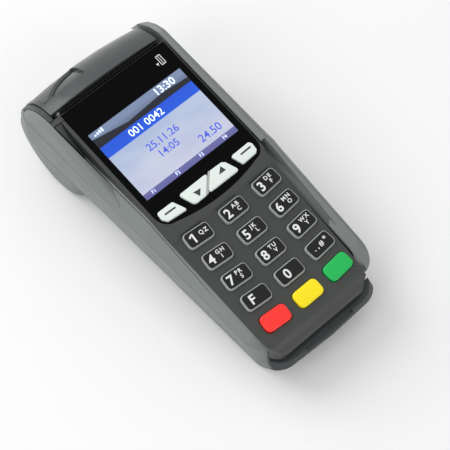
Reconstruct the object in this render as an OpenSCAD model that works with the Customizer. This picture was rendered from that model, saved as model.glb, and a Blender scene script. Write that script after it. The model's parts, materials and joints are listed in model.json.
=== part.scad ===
// Countertop payment terminal with a keypad, a display, a chip slot, a swipe slot and a printer.
// The origin is on the table under the middle of the body. The user stands at -Y, the printer is at +Y.

/* [Body] */
// Length, from the nose to the rear end
body_len = 185; // [184:1:222]
// Width at the shoulders
body_w = 82.8; // [82:0.2:100]
// Height, from the table to the top of the paper cover
body_h = 62.5; // [61:0.5:75]
// Wall of the two casings
wall = 2; // [1.8:0.1:2.4]
// How far the feet stand out below the casing
foot_proud = 0.8; // [0.5:0.1:1.2]

/* [Display] */
// Slope of the display surface, in degrees
disp_tilt = 8.5; // [7:0.5:9]
// Width of the glossy window
window_w = 64.6; // [62:0.2:65]
// Thickness of the window
window_t = 1.2; // [1:0.1:1.4]
// Width of the display panel
panel_w = 59.2; // [58:0.2:59.4]
// Length of the display panel
panel_l = 45; // [44:0.2:45]
// Thickness of the display panel
panel_t = 2.6; // [2:0.1:2.8]

/* [Keypad] */
// Slope of the keypad surface, in degrees
key_tilt = 12; // [11:0.5:13]
// Distance between the rows of keys
row_pitch = 13.17; // [12.6:0.01:13.3]
// Sideways distance of the outer keys from the middle key in the first row
column_pitch = 21.55; // [20.6:0.05:22]
// Width of a key
key_w = 14.7; // [13.5:0.1:15.4]
// Length of a key, front to rear
key_l = 8.8; // [7.8:0.1:9.2]
// How far a key stands out of the case
key_proud = 1.3; // [1:0.1:1.8]
// How far a key travels
key_travel = 1; // [0.6:0.1:1.2]

/* [Card readers] */
// Width of the chip card slot
card_slot_w = 55; // [54.6:0.2:57]
// Height of the chip card slot
card_slot_h = 1.4; // [1.2:0.1:1.6]
// Width of the swipe slot
swipe_w = 1.4; // [1.2:0.1:1.6]
// Depth of the swipe slot below the display surface
swipe_depth = 12.5; // [11:0.5:13]

/* [Printer] */
// Outer radius of the paper cover
cover_r = 27; // [26.5:0.1:28]
// Wall of the paper cover
cover_t = 2; // [1.6:0.1:2.2]
// Radius of the paper roll
roll_r = 19; // [15:0.5:19]
// Width of the paper roll
roll_w = 57; // [50:0.5:57]
// Radius of the rubber platen roller
platen_r = 4; // [3.6:0.1:4.1]
// Module of the gear teeth
gear_m = 0.7; // [0.66:0.01:0.7]

/* [Hidden] */
$fn = 64;
hull_fn = 32;
eps = 0.01;

// Clearances
gap = 0.3;            // between pieces that move past each other
fit = 0.05;           // radial clearance of a running shaft
seat = 0.02;          // between a fixed piece and the pocket it sits in

// Main planes
half_w = body_w / 2;
y_front = -body_len / 2;
y_rear = body_len / 2;
base_z = foot_proud;
floor_z = base_z + wall;

// Printer hump: the cover turns about this axis in the drawing, not in use
hump_y = y_rear - 28.4;
hump_z = body_h - cover_r;

// Display surface: a point of the panel plane, on the middle line
disp_y = y_rear - 66;
disp_z = body_h - 10.1;
window_top = 0.8;     // window surface above the panel plane
skin = 1.5;           // side walls of the top casing
window_rear = 37.8;   // rear edge of the window, from the display's middle
window_front = -41.6; // front edge of the window at the middle
window_arc = 95;      // radius of the window's front edge
display_w = 57.6;     // lit area
display_l = 43.2;

// Keypad surface: its origin is under the middle key of the first row
row0_y = disp_y - 50.5 * cos(disp_tilt) + 1.4 * sin(disp_tilt);
row0_z = disp_z - 50.5 * sin(disp_tilt) - 1.4 * cos(disp_tilt);
column_shrink = 0.41; // each row's outer keys come in by this much
outer_key_back = 0.7; // outer keys sit this much further to the rear
fan_angle = 4.5;      // outer keys are turned by this much
rows = 5;
key_corner = 2.2;
key_side_gap = 0.3;
flange = 0.8;         // height of the flange under each key
flange_out = 0.5;     // how far the flange stands out
nose_s = -58.5;       // front end of the keypad surface, from the first row
lane_x = (column_pitch + column_shrink) / 2 - 0.4; // lane between the columns of keys
nose_r = 10;          // roll of the nose

// Shoulders, from the outside of the body
seam_in = 7.2;        // seam between the casings
seam_half = half_w - seam_in;
crease_z = disp_z - 10;   // widest line of the body, rear half
seam_z = disp_z - 4.4;    // seam, rear half
crease_drop = 5.6;        // the same two below the keypad surface
seam_drop = 1.6;
base_half = half_w - 7.9; // half width where the body meets the table
hip_half = half_w - 1.9;

// Rail on the right of the swipe slot
rail_in = half_w - 7.4;   // inner face of the rail
swipe_in = rail_in - swipe_w;
top_right = swipe_in;     // right edge of the top casing beside the display
keypad_right = rail_in - 3.2;
slot_end = -34;           // front end of the deep part of the slot, from the display's middle

// Printer layout
bay_r = roll_r + 1;
bay_left = -(roll_w / 2 + 0.7);
bay_right = roll_w / 2 + 0.3;
roll_y = y_rear - 26;
roll_z = floor_z + 1.1 + bay_r;
tail_r = 26;              // roll of the body's rear end, below
cover_left = -(half_w - 5.4);
cover_right = swipe_in - 2.3;
hinge_y = y_rear - 3;
hinge_z = hump_z - 2.5;
knuckle_r = 2.8;
hinge_pin_r = 1;
platen_y = hump_y + 4.6;
platen_z = hump_z + 17.5;
shaft_r = 1.5;
plate_t = 1.2;
gear_t = 1.6;
plate_left = bay_left - 0.3 - plate_t;
gear_x = plate_left - 0.2 - gear_t;
platen_teeth = 12;
idler_teeth = 18;
drive_teeth = 20;
pinion_teeth = 12;
mesh_play = 0.06;
head_face = platen_y - platen_r - 0.15;
head_t = 2;
head_pivot_z = platen_z - 9;
motor_r = 6.2;
motor_len = 15;

// Chip reader layout
card_tilt = 3.4;
card_y = y_front + 5.4;   // the mouth, at the top casing's lip
card_z = 19.4;
reader_w = 62;
reader_l = 48;

// Boards
board_t = 1.6;
main_z = floor_z + 7.6;
main_y0 = -24;
main_y1 = 34;
main_w = 56;

KEYS = [["key_1", 0, -1], ["key_2", 0, 0], ["key_3", 0, 1], ["key_4", 1, -1], ["key_5", 1, 0],
    ["key_6", 1, 1], ["key_7", 2, -1], ["key_8", 2, 0], ["key_9", 2, 1], ["key_f", 3, -1],
    ["key_0", 3, 0], ["key_dot", 3, 1], ["key_cancel", 4, -1], ["key_clear", 4, 0],
    ["key_enter", 4, 1]];

// Colours
light_grey = [0.52, 0.55, 0.53];
dark_grey = [0.23, 0.25, 0.25];
gloss_black = [0.03, 0.03, 0.035];
key_rim = [0.58, 0.6, 0.59];
pale = [0.88, 0.92, 0.9];
steel = [0.72, 0.73, 0.75];
board_green = [0.05, 0.3, 0.15];

// Helpers

module on_display() {
    translate([0, disp_y, disp_z]) rotate([disp_tilt, 0, 0]) children();
}

module on_keys() {
    translate([0, row0_y, row0_z]) rotate([key_tilt, 0, 0]) children();
}

module on_card() {
    translate([0, card_y, card_z]) rotate([card_tilt, 0, 0]) children();
}

// A profile drawn in (Y, Z), from x0 to x1
module side_prism(x0, x1) {
    translate([x0, 0, 0]) rotate([90, 0, 90]) linear_extrude(x1 - x0) children();
}

// A rod along X
module rod(x0, x1, y, z, r) {
    translate([x0, y, z]) rotate([0, 90, 0]) cylinder(h = x1 - x0, r = r);
}

module block(x0, x1, y0, y1, z0, z1) {
    translate([x0, y0, z0]) cube([x1 - x0, y1 - y0, z1 - z0]);
}

module rounded_rect(w, l, r) {
    square([w - 2 * r, l], center = true);
    square([w, l - 2 * r], center = true);
    for (x = [-1, 1], y = [-1, 1]) translate([x * (w / 2 - r), y * (l / 2 - r)]) circle(r, $fn = 32);
}

function arc(cy, cz, r, a0, a1, n) =
    [for (i = [0:n]) let (a = a0 + (a1 - a0) * i / n) [cy + r * cos(a), cz + r * sin(a)]];

// Points of the display and keypad surfaces in the (Y, Z) plane; h is the height above the surface
function disp_pt(s, h) = [disp_y + s * cos(disp_tilt) - h * sin(disp_tilt),
    disp_z + s * sin(disp_tilt) + h * cos(disp_tilt)];
function key_pt(s, h) = [row0_y + s * cos(key_tilt) - h * sin(key_tilt),
    row0_z + s * sin(key_tilt) + h * cos(key_tilt)];

step_rear = window_front - 1.6;     // the display plateau steps down to the keypad here
nose_c = key_pt(nose_s, -nose_r);   // centre of the nose's roll

// Casings' outer form

module corner(x, y, r, z) {
    translate([x, y, z]) cylinder(h = 0.4, r = r, $fn = hull_fn);
}

// Round lower rear end, a quarter circle from the table up
module tail(half, d) {
    side_prism(-half, half) polygon(concat([[y_rear - tail_r, base_z + tail_r]],
        arc(y_rear - tail_r, base_z + tail_r, tail_r - d, -90, 0, 12)));
}

// Body below the seam. d is how far the form is drawn in; lift raises its open top
module lower_form(d, lift = 0) {
    hull() {
        for (s = [-1, 1]) {
            corner(s * (base_half - 11), y_front + 18, 9 - d, base_z + d);
            corner(s * (base_half - 11.5), y_front + 17.5, 10.4 - d, base_z + 2 + d);
            corner(s * (base_half - 10), roll_y, 9 - d, base_z + d);
            corner(s * (base_half - 10), roll_y, 10.2 - d, base_z + 2 + d);
            on_keys() corner(s * (half_w - 3.9 - 13), nose_s + 9.5, 13 - d, -crease_drop - 0.4);
            corner(s * (half_w - 3), row0_y + 16, 3 - d, crease_z - 0.4);
            corner(s * (half_w - 11), y_rear - 11, 11 - d, crease_z - 0.4);
            corner(s * (half_w - 11), y_rear - 11, 10.9 - d, hump_z - 10);
            on_keys() corner(s * (seam_half - 11.4), nose_s + 8.5, 9 - d, -seam_drop - 0.4 + lift);
            corner(s * (seam_half - 3), disp_y - 25.5, 3 - d, seam_z - 0.4 + lift);
            corner(s * (seam_half - 9), y_rear - 13, 9 - d, seam_z - 0.4 + lift);
        }
        tail(half_w - 12, d + 0.1);
    }
}

// Wider rear end that stands on the table
module hip_form(d) {
    hull() {
        for (s = [-1, 1]) {
            corner(s * (hip_half - 12), roll_y - 8, 9 - d, base_z + d);
            corner(s * (hip_half - 11), roll_y - 8, 10 - d, base_z + 2 + d);
            corner(s * (hip_half - 11), roll_y - 8, 11 - d, hump_z - 14);
            corner(s * (half_w - 11.3), y_rear - 11.3, 11.2 - d, hump_z - 8);
            corner(s * (half_w - 1.2), roll_y - 22, 1, crease_z - 1);
            corner(s * (half_w - 11.3), y_rear - 11.3, 11.1 - d, crease_z - 1);
        }
        tail(hip_half - 1 - d, d + 0.1);
    }
}

// Finger scoop in each side, between the shoulder and the hip
module scoop_profile() {
    polygon(concat([[roll_y - 40, crease_z - 1.2], [roll_y, crease_z - 1.2]],
        arc(roll_y - 1, crease_z - 14.2, 13, 78, -30, 12),
        [[roll_y, base_z + 19.6], [roll_y - 8, base_z + 18.4], [roll_y - 40, base_z + 18.4]]));
}

// Right rail, raised beside the swipe slot and the keypad
module rail_form() {
    intersection() {
        union() {
            hull() {
                on_display() for (s = [slot_end - 6, window_rear - 1])
                    translate([half_w - 4.6, s, -1.2]) sphere(r = 1.4, $fn = 24);
                on_display() for (s = [slot_end - 6, window_rear - 1])
                    translate([rail_in, s, -6]) cube([2, 1, 6]);
                for (y = [row0_y + 18, hump_y + 8]) corner(half_w - 3.2, y, 3.1, crease_z - 0.7);
                corner(half_w - 11.5, y_rear - 11.5, 11.3, crease_z - 0.7);
                translate([half_w - 6, hump_y + 16, hump_z + 15]) sphere(r = 2.2, $fn = 24);
            }
            hull() {
                on_display() translate([half_w - 4.6, slot_end - 6, -1.2]) sphere(r = 1.4, $fn = 24);
                on_display() translate([keypad_right - 1, slot_end - 6, -6]) cube([3, 1, 5]);
                on_keys() translate([half_w - 8.6, nose_s + 12, -1.9]) sphere(r = 1.6, $fn = 24);
                on_keys() translate([keypad_right - 1, nose_s + 6, -4]) cube([3, 1, 3]);
                on_keys() corner(half_w - 4 - 13, nose_s + 10, 13, -crease_drop - 0.2);
                corner(half_w - 3.2, row0_y + 17, 3.1, crease_z - 0.8);
            }
        }
        union() {
            block(rail_in - 0.7, half_w + 1, disp_y + slot_end - 9, y_rear + 1, 5, body_h);
            block(keypad_right + gap, half_w + 1, y_front - 1, disp_y + slot_end - 8.5, 5, body_h);
        }
    }
}

// The hump's round end, used to trim what stands beside the cover
module hump_trim(r) {
    difference() {
        block(-half_w - 1, half_w + 1, hump_y, y_rear + 1, hump_z, body_h + 10);
        rod(-half_w - 2, half_w + 2, hump_y, hump_z, r);
    }
}

// Swipe slot and the trough that carries it out past the keypad
module swipe_cut() {
    on_display() translate([swipe_in, slot_end - 8, -swipe_depth])
        cube([swipe_w, 112, swipe_depth + 8]);
    trough_run = nose_s + 12 - slot_end - (row0_y - disp_y);
    rise = atan2(swipe_depth - 3, 62);
    on_display() translate([0, slot_end, -swipe_depth]) rotate([90 - rise, 0, 0])
        linear_extrude(78)
            polygon([[keypad_right - 6, 18], [keypad_right + eps, 0.6], [swipe_in, 0], [rail_in, 0],
                [half_w - 5.2, swipe_depth - 1.2], [half_w - 4.6, 18]]);
}

boss_xy = [for (s = [-1, 1]) [s * lane_x, row0_y - row_pitch / 2 * cos(key_tilt)]];
board_xy = [[-(main_w / 2 - 3), main_y0 + 3], [main_w / 2 - 3, main_y0 + 3],
    [-(main_w / 2 - 3), main_y1 - 3], [main_w / 2 - 3, main_y1 - 3]];
foot_xy = [[-(base_half - 9), y_front + 15], [base_half - 9, y_front + 15],
    [-(hip_half - 9.5), roll_y - 4], [hip_half - 9.5, roll_y - 4]];
foot_r = 4.5;
foot_in = 0.8;
door_x = [-14, 26];
door_y = [-4, 24];
door_t = 1.2;
socket_x = 12;

module bottom_case() {
    color(light_grey) difference() {
        union() {
            difference() {
                lower_form(0);
                lower_form(wall, 1.15);
                bezel_room(seat);
                on_card() translate([-reader_w / 2 - 0.2, -4, -card_slot_h / 2 - 4 - seat])
                    cube([reader_w + 0.4, reader_l + 8.6, card_slot_h + 7.4]);
            }
            cover_walls();
            slot_liner();
            hinge_blocks();
            pocket_walls();
            for (p = boss_xy) translate([p[0], p[1], base_z + 1]) cylinder(h = boss_top - base_z - 1, r = boss_r);
            for (p = board_xy) translate([p[0], p[1], base_z + 1]) cylinder(h = main_z - base_z - 1, r = 2.6);
            for (s = [14, 44]) side_prism(-20, 20) polygon([[card_y + s, base_z + 1],
                [card_y + s + 1.6, base_z + 1], card_pt(s + 1.6, reader_under), card_pt(s, reader_under)]);
        }
        hump_trim(cover_r - 1.4);
        cover_window();
        swipe_cut();
        rod(cover_left - 2, cover_right + 1, hinge_y, hinge_z, hinge_pin_r);
        for (p = boss_xy) translate([p[0], p[1], -1]) {
            cylinder(h = boss_top + 3, r = 1.2);
            cylinder(h = base_z + 1 + 3, r = 2.1);
        }
        for (p = board_xy) translate([p[0], p[1], floor_z]) cylinder(h = 20, r = 0.9);
        for (p = foot_xy) translate([p[0], p[1], -1]) cylinder(h = base_z + 1 + foot_in, r = foot_r + seat);
        pocket_cut();
    }
}

// Wide foot of the printer housing, with the finger scoop above it
module rear_hips() {
    color(light_grey) difference() {
        hip_form(0);
        for (s = [-1, 1]) scale_x(s) side_prism(base_half, half_w + 2) scoop_profile();
        lower_form(-seat, seat);
        hump_trim(cover_r - 1.4);
        for (p = foot_xy) translate([p[0], p[1], -1]) cylinder(h = base_z + 1 + foot_in, r = foot_r + seat);
        rod(cover_left - 2, cover_right + 2, hinge_y, hinge_z, hinge_pin_r);
        for (x = knuckle_fixed) {
            block(x[0] - seat, x[1] + seat, hinge_y - 4, hinge_y + 1.3 + seat, hinge_z - 8 - seat, body_h);
            rod(x[0] - seat, x[1] + seat, hinge_y, hinge_z, knuckle_r + seat);
        }
        // Room for the cover's lower corner as it swings up
        block(cover_left - gap, cover_left + 6.6, hinge_y + 1.2, y_rear + 1, hinge_z + 1, body_h);
    }
}

// Outer wall of the swipe slot
module side_rail() {
    color(light_grey) difference() {
        rail_form();
        lower_form(-seat, seat);
        hump_trim(cover_r - 1.4);
        swipe_cut();
    }
}

reader_under = -card_slot_h / 2 - 4 - seat;
function card_pt(s, h) = [card_y + s * cos(card_tilt) - h * sin(card_tilt),
    card_z + s * sin(card_tilt) + h * cos(card_tilt)];

// Mirror a child to the left for s = -1
module scale_x(s) {
    if (s < 0) mirror([1, 0, 0]) children(); else children();
}

// Screw pillars of the bottom casing end here; the top casing's posts stand on them
boss_top = 24;
boss_r = 3;
post_r = 2.2;

// Inner walls beside the cover
module cover_walls() {
    side_prism(cover_left - gap - 1.4, cover_left - gap)
        polygon([[hump_y - 3, hump_z - 9], [y_rear - 5, hump_z - 9], [y_rear - 5, crease_z - 1],
            [y_rear - 8, crease_z + 2], [hump_y - 3, crease_z + 2]]);
    side_prism(cover_right + gap, cover_right + gap + 1.4)
        polygon([[hump_y - 3, hump_z - 9], [y_rear - 4, hump_z - 9], [y_rear - 4, crease_z],
            [y_rear - 8, crease_z + 3], [hump_y - 3, crease_z + 3]]);
}

// Paper bay: a tray that stands in the bottom casing
tray_top = hinge_z - 4.2;
tray_wall = 0.8;
module paper_tray() {
    out = tray_wall;
    color(dark_grey) difference() {
        side_prism(bay_left - out, bay_right + out) {
            translate([roll_y, roll_z]) circle(bay_r + out, $fn = 96);
            polygon([[roll_y - bay_r - out, roll_z], [roll_y + bay_r + out, roll_z],
                [roll_y + bay_r + out, tray_top], [roll_y - bay_r - out, tray_top]]);
            polygon([[roll_y - 6, floor_z + seat], [roll_y + 2, floor_z + seat],
                [roll_y + 2, roll_z - bay_r], [roll_y - 6, roll_z - bay_r]]);
        }
        side_prism(bay_left, bay_right) translate([roll_y, roll_z]) circle(bay_r, $fn = 96);
        block(bay_left, bay_right, roll_y - bay_r, roll_y + bay_r, roll_z, body_h);
        block(-half_w, half_w, roll_y - bay_r - 2, y_rear, tray_top, body_h);
        for (s = [-1, 1]) scale_x(s) block(base_half - 3.9, half_w, roll_y - 9, roll_y + 15, 0, floor_z + 6);
        for (x = knuckle_fixed) block(x[0] - gap, x[1] + gap, hinge_y - 3, y_rear, hinge_z - 8.2, body_h);
    }
}

// Opening in the bottom casing for the paper cover
module cover_window() {
    difference() {
        block(cover_left - gap, cover_right + gap, hump_y - 3, y_rear + 1, hinge_z - 3.8, body_h + 5);
        for (x = knuckle_fixed) block(x[0], x[1], hinge_y - 4, hinge_y + 1.3, hinge_z - 5, hinge_z);
        for (x = knuckle_fixed) rod(x[0], x[1], hinge_y, hinge_z, knuckle_r);
    }
}

knuckle_fixed = [[cover_left - gap - 1, cover_left + 6], [cover_right - 6, cover_right + gap + 1]];
knuckle_cover = [[cover_left + 6 + gap, cover_right - 6 - gap]];

module hinge_blocks() {
    for (x = knuckle_fixed) {
        rod(x[0], x[1], hinge_y, hinge_z, knuckle_r);
        block(x[0], x[1], hinge_y - 2.8, hinge_y + 1.3, hinge_z - 8, hinge_z);
    }
}

// Wall and floor of the swipe slot
module slot_liner() {
    rise = atan2(swipe_depth - 3, 62);
    deep = -swipe_depth - 1.8;
    on_display() {
        translate([cover_right + gap + 0.4, slot_end - 2, deep]) cube([rail_in + 1 - cover_right, 64, 1.8]);
        translate([cover_right + gap + 0.4, slot_end - 2, deep]) cube([rail_in - 0.3 - cover_right, 82, 1.8]);
        translate([0, slot_end, -swipe_depth - 0.5]) rotate([90 - rise, 0, 0])
            linear_extrude(42) translate([keypad_right + gap, -1.7]) square([rail_in + 1.9 - keypad_right, 1.8]);
    }
    side_prism(rail_in - 0.3, rail_in + 1.6) polygon([disp_pt(slot_end - 3.5, deep + 0.4), disp_pt(44, deep + 0.1),
        [disp_pt(44, 0)[0], seam_z - 1.6], [disp_pt(-6, 0)[0], seam_z - 1.6], disp_pt(slot_end - 3.5, -5.2)]);
    side_prism(rail_in + 0.6, rail_in + 1.9) polygon([key_pt(14, -12), key_pt(14, -4.6), key_pt(-26, -4.6),
        key_pt(-26, -8)]);
}

// Cable pocket under the base, with a channel to the right
module pocket_walls() {
    block(door_x[0] - 1.4, door_x[1] + 1.4, door_y[0] - 1.4, door_y[1] + 1.4, base_z + 1, main_z - 0.6);
    block(door_x[1], base_half - 0.6, 6, 16, base_z + 1, base_z + 7.6);
}

module pocket_cut() {
    block(door_x[0], door_x[1], door_y[0], door_y[1], -1, base_z + door_t + seat);
    block(door_x[0] + 1.2, door_x[1] - 1.2, door_y[0] + 1.2, door_y[1] - 1.2, -1, main_z + 1);
    block(door_x[1] - 2, half_w + 2, 7.6, 14.4, -1, base_z + 6);
}

// Top casing

module top_profile() {
    polygon(concat(
        [disp_pt(window_rear + 0.6, window_top), disp_pt(step_rear, window_top), key_pt(5.2, 0)],
        arc(nose_c[0], nose_c[1], nose_r, 90 + key_tilt, 172, 10),
        [[card_y - 0.4, card_z + 1], [card_y + 3, card_z + 1], [card_y + 3, card_z - 10]],
        [[disp_y, seam_z - 25], [disp_pt(window_rear + 0.6, 0)[0], seam_z - 25]]));
}

// The same surface, one wall lower
module top_inner_profile() {
    polygon(concat(
        [disp_pt(window_rear + 3, -window_t - 0.2), disp_pt(step_rear + 1.4, -window_t - 0.2),
            key_pt(4.8, -wall)],
        arc(nose_c[0], nose_c[1], nose_r - wall, 90 + key_tilt, 172, 10),
        [[card_y + wall, card_z - 12], [disp_y, seam_z - 40], [disp_pt(window_rear + 3, 0)[0], seam_z - 40]]));
}

// Plan of the top casing, drawn in by d
module top_plan(d) {
    polygon(concat(
        [[-(seam_half - d), hump_y - 1.5], [-(seam_half - d), row0_y + 8]],
        [for (a = [0:10:90]) [-(seam_half - 1.8 - d) + 9 - 9 * cos(a), y_front + 13.2 + d - 9 * sin(a)]],
        [for (a = [90:-10:0])
            [keypad_right - 1.6 - d / 2 - 9 + 9 * cos(a), y_front + 13.2 + d - 9 * sin(a)]],
        [[keypad_right - d / 2, row0_y + 10], [keypad_right - d / 2, disp_y + slot_end - 5],
            [top_right - d, disp_y + slot_end - 1], [top_right - d, hump_y - 1.5]]));
}

module seam_floor() {
    rear = [disp_y - 28.5, seam_z + seat];
    front = key_pt(nose_s - 0.5, -seam_drop + seat);
    lip = key_pt(nose_s - 2, -seam_drop + seat);
    under = [[y_front + 4, card_z - 30], [y_rear, card_z - 30]];
    side_prism(-half_w - 1, -(seam_half - 4.4)) polygon(concat([[y_rear, seam_z + seat], rear, front, lip], under));
    side_prism(-(seam_half - 4.3), swipe_in - 6) polygon(concat([[y_rear, seam_z + seat],
        [row0_y + 16, seam_z + seat], key_pt(8, -seam_drop + seat), front, lip], under));
    side_prism(swipe_in - 6.1, half_w) polygon([front + 0.15 * (rear - front), front, lip, under[0],
        [row0_y, card_z - 30]]);
}

module top_case() {
    color(dark_grey) difference() {
        union() {
            difference() {
                intersection() {
                    side_prism(-half_w, half_w) top_profile();
                    translate([0, 0, -10]) linear_extrude(100) top_plan(0);
                }
                intersection() {
                    side_prism(-half_w, half_w) top_inner_profile();
                    translate([0, 0, -10]) linear_extrude(100) top_plan(skin);
                }
                seam_floor();
                skirt_trim();
                block(-half_w, half_w, y_front - 1, card_y + 9, -5, card_z + 1);
            }
            side_arms();
            rear_bar();
            for (p = boss_xy) translate([p[0], p[1], boss_top])
                cylinder(h = post_top - boss_top, r = post_r);
            for (p = pad_xy) on_keys() translate([p[0], p[1], -pad_top]) cylinder(h = pad_top - 1, r = pad_r);
        }
        window_recess();
        for (k = KEYS) key_place(k) key_well();
        for (n = NAV) on_display() nav_well(n);
        panel_window();
        for (p = boss_xy) translate([p[0], p[1], boss_top - 1]) cylinder(h = 9, r = 0.9);
        block(mag_x, swipe_in + 1, mag_y - mag_half - gap, mag_y + mag_half + gap, mag_z - 4.3, mag_z + 4.3);
    }
}

post_top = key_pt(-row_pitch / 2, -wall / 2)[1];

// Posts that carry the keypad board, between the columns of keys
pad_r = 1.2;
pad_xy = [for (s = [-1, 1], i = [1.5, 3.5]) [s * 10, -i * row_pitch]];

// Right skirt of the top casing: the left wall of the swipe slot, down to its floor
module skirt_trim() {
    side_prism(swipe_in - 6, half_w) polygon([disp_pt(60, -swipe_depth + gap),
        disp_pt(slot_end, -swipe_depth + gap), key_pt(nose_s + 14, -4.4), key_pt(nose_s - 20, -4.4),
        [y_front, -20], [y_rear, -20]]);
}

// Strips beside the paper cover
module side_arms() {
    difference() {
        block(-(half_w - 2.8), cover_left - gap, hump_y - 3, y_rear - 4, crease_z, hump_z + cover_r - 3);
        side_prism(cover_right + gap, swipe_in) polygon([[hump_y - 1.7, body_h - 3], [y_rear - 8, body_h - 3],
            disp_pt(58, -swipe_depth + gap), disp_pt(window_rear - 2.2, -swipe_depth + gap)]);
        block(cover_right, swipe_in + 1, hump_y - 4, hump_y - 1, crease_z - 1, disp_pt(36, -swipe_depth)[1]);
        hump_trim(cover_r - 2.6);
        block(-half_w, half_w, hump_y - 20, hump_y + eps, disp_pt(window_rear, window_top)[1], body_h + 9);
        difference() {
            lower_form(-seat, seat);
            block(0, half_w + 1, 0, y_rear + 1, 0, body_h);
        }
    }
}

// Bar at the rear of the display, in front of the paper slot
module rear_bar() {
    z_top = disp_pt(window_rear, window_top)[1];
    difference() {
        block(-(half_w - 2.8), swipe_in, hump_y - 3, head_face - 0.35, z_top - 2.2, z_top);
        rod(gear_x - 0.8, gear_x + gear_t + 0.3, platen_y, platen_z, gear_m * (platen_teeth / 2 + 1) + 0.2);
    }
    difference() {
        block(-(half_w - 3), -(seam_half - skin), hump_y - 2.9, hump_y - 1.6, crease_z, z_top - 1);
        lower_form(-seat, seat);
    }
}

module window_plan(d) {
    half = window_w / 2 + d;
    front = window_front - d;
    side_s = front + window_arc - sqrt(pow(window_arc, 2) - pow(half - 7, 2));
    polygon(concat([[-half, window_rear + d], [-half, side_s + 8]],
        [for (a = [0:15:75]) [-half + 7 - 7 * cos(a), side_s + 8 - 8 * sin(a)]],
        [for (x = [-1:0.1:1]) [x * (half - 7), front + window_arc - sqrt(pow(window_arc, 2)
            - pow(x * (half - 7), 2))]],
        [for (a = [75:-15:0]) [half - 7 + 7 * cos(a), side_s + 8 - 8 * sin(a)]],
        [[half, side_s + 8], [half, window_rear + d]]));
}

module window_recess() {
    on_display() translate([0, 0, window_top - window_t]) linear_extrude(10) window_plan(seat);
}

module panel_window() {
    on_display() translate([0, 0, -6]) linear_extrude(10) square([display_w + 1, display_l + 1], center = true);
}

// Keys

module key_place(k) {
    r = k[1];
    on_keys() translate([k[2] * (column_pitch - r * column_shrink),
        -r * row_pitch + (k[2] == 0 ? 0 : outer_key_back), 0]) rotate([0, 0, k[2] * fan_angle]) children();
}

module key_well() {
    translate([0, 0, -wall - 1]) linear_extrude(wall + 3)
        rounded_rect(key_w + 2 * key_side_gap, key_l + 2 * key_side_gap, key_corner + key_side_gap);
}

key_under = wall + gap;         // top of the flange below the case surface
key_bottom = key_under + flange;

module key_body(k, shade, inlay) {
    color(shade) key_place(k) {
        translate([0, 0, -key_bottom]) linear_extrude(flange)
            rounded_rect(key_w + 2 * flange_out, key_l + 2 * flange_out, key_corner);
        translate([0, 0, -key_under - eps]) linear_extrude(key_under + key_proud - 0.4)
            rounded_rect(key_w, key_l, key_corner);
        translate([0, 0, key_proud - 0.4 - 2 * eps]) linear_extrude(0.4 + 2 * eps)
            rounded_rect(key_w - inlay, key_l - inlay, key_corner - inlay / 2);
    }
}

module number_key(i) key_body(KEYS[i], key_rim, 1.2);
module colour_key(i, shade) key_body(KEYS[i], shade, 0.8);
module key_1() number_key(0);
module key_2() number_key(1);
module key_3() number_key(2);
module key_4() number_key(3);
module key_5() number_key(4);
module key_6() number_key(5);
module key_7() number_key(6);
module key_8() number_key(7);
module key_9() number_key(8);
module key_f() number_key(9);
module key_0() number_key(10);
module key_dot() number_key(11);
module key_cancel() colour_key(12, [0.98, 0.27, 0.24]);
module key_clear() colour_key(13, [1, 0.94, 0.05]);
module key_enter() colour_key(14, [0.05, 0.75, 0.4]);

// Navigation keys: their outlines on the display surface
NAV = [
    [[-29.9, -29.5], [-30.2, -33.6], [-28.4, -36], [-17.8, -37], [-17.6, -36], [-20.4, -29.6]],
    [[-15.2, -29], [2.6, -28.8], [-5.6, -37.4], [-12, -37.5], [-13.4, -36.4], [-15.6, -30.2]],
    [[3.7, -28.8], [11, -29], [12.6, -30.2], [15, -36.4], [14.4, -37.4], [-4.5, -37.4]],
    [[16.4, -29.6], [28.2, -29.3], [29.2, -31], [28.8, -34.8], [27.2, -36], [18.6, -36.4]]];
nav_gap = 0.2;

module nav_well(n) {
    translate([0, 0, -6]) linear_extrude(10) polygon(grown(n, nav_gap));
}

// An outline grown by d: each point moves along the two edges' outward normals
function unit(v) = v / norm(v);
function turned(v) = [v[1], -v[0]];
function side_of(n) = let (a = n[1] - n[0], b = n[2] - n[1]) a[0] * b[1] - a[1] * b[0] > 0 ? 1 : -1;
function grown(n, d) = [for (i = [0:len(n) - 1]) let (
    before = n[(i + len(n) - 1) % len(n)], after = n[(i + 1) % len(n)],
    u = side_of(n) * turned(unit(n[i] - before)), v = side_of(n) * turned(unit(after - n[i])),
    m = unit(u + v)) n[i] + m * d / (m * u)];

nav_proud = 1.1;
nav_under = 2.6;                // top of the flange below the panel plane
nav_tab = 5;
function xs(n) = [for (q = n) q[0]];
function ys(n) = [for (q = n) q[1]];
function mean(v) = v * [for (q = v) 1] / len(v);

// A navigation key: its cap, the tabs that hold it under the window, and its stem
module nav_key(n) {
    mid = [mean(xs(n)), (max(ys(n)) + min(ys(n))) / 2];
    color(pale) on_display() {
        translate([0, 0, -nav_under - 0.7]) linear_extrude(nav_under + 0.7 + window_top + nav_proud)
            polygon(n);
        translate([mid[0] - nav_tab / 2, min(ys(n)) - 0.8, -nav_under - 0.7])
            cube([nav_tab, max(ys(n)) - min(ys(n)) + 1.6, 0.7]);
        translate([mid[0], mid[1], -nav_under - 1.2]) cylinder(h = 1, r = 1.5);
    }
}
module nav_left() nav_key(NAV[0]);
module nav_down() nav_key(NAV[1]);
module nav_up() nav_key(NAV[2]);
module nav_right() nav_key(NAV[3]);

mat_top = key_bottom + key_travel + 0.15;
mat_t = 1;
pad_top = mat_top + mat_t;

board_rear = 21;                // rear end of the keypad board, from the first row

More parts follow.
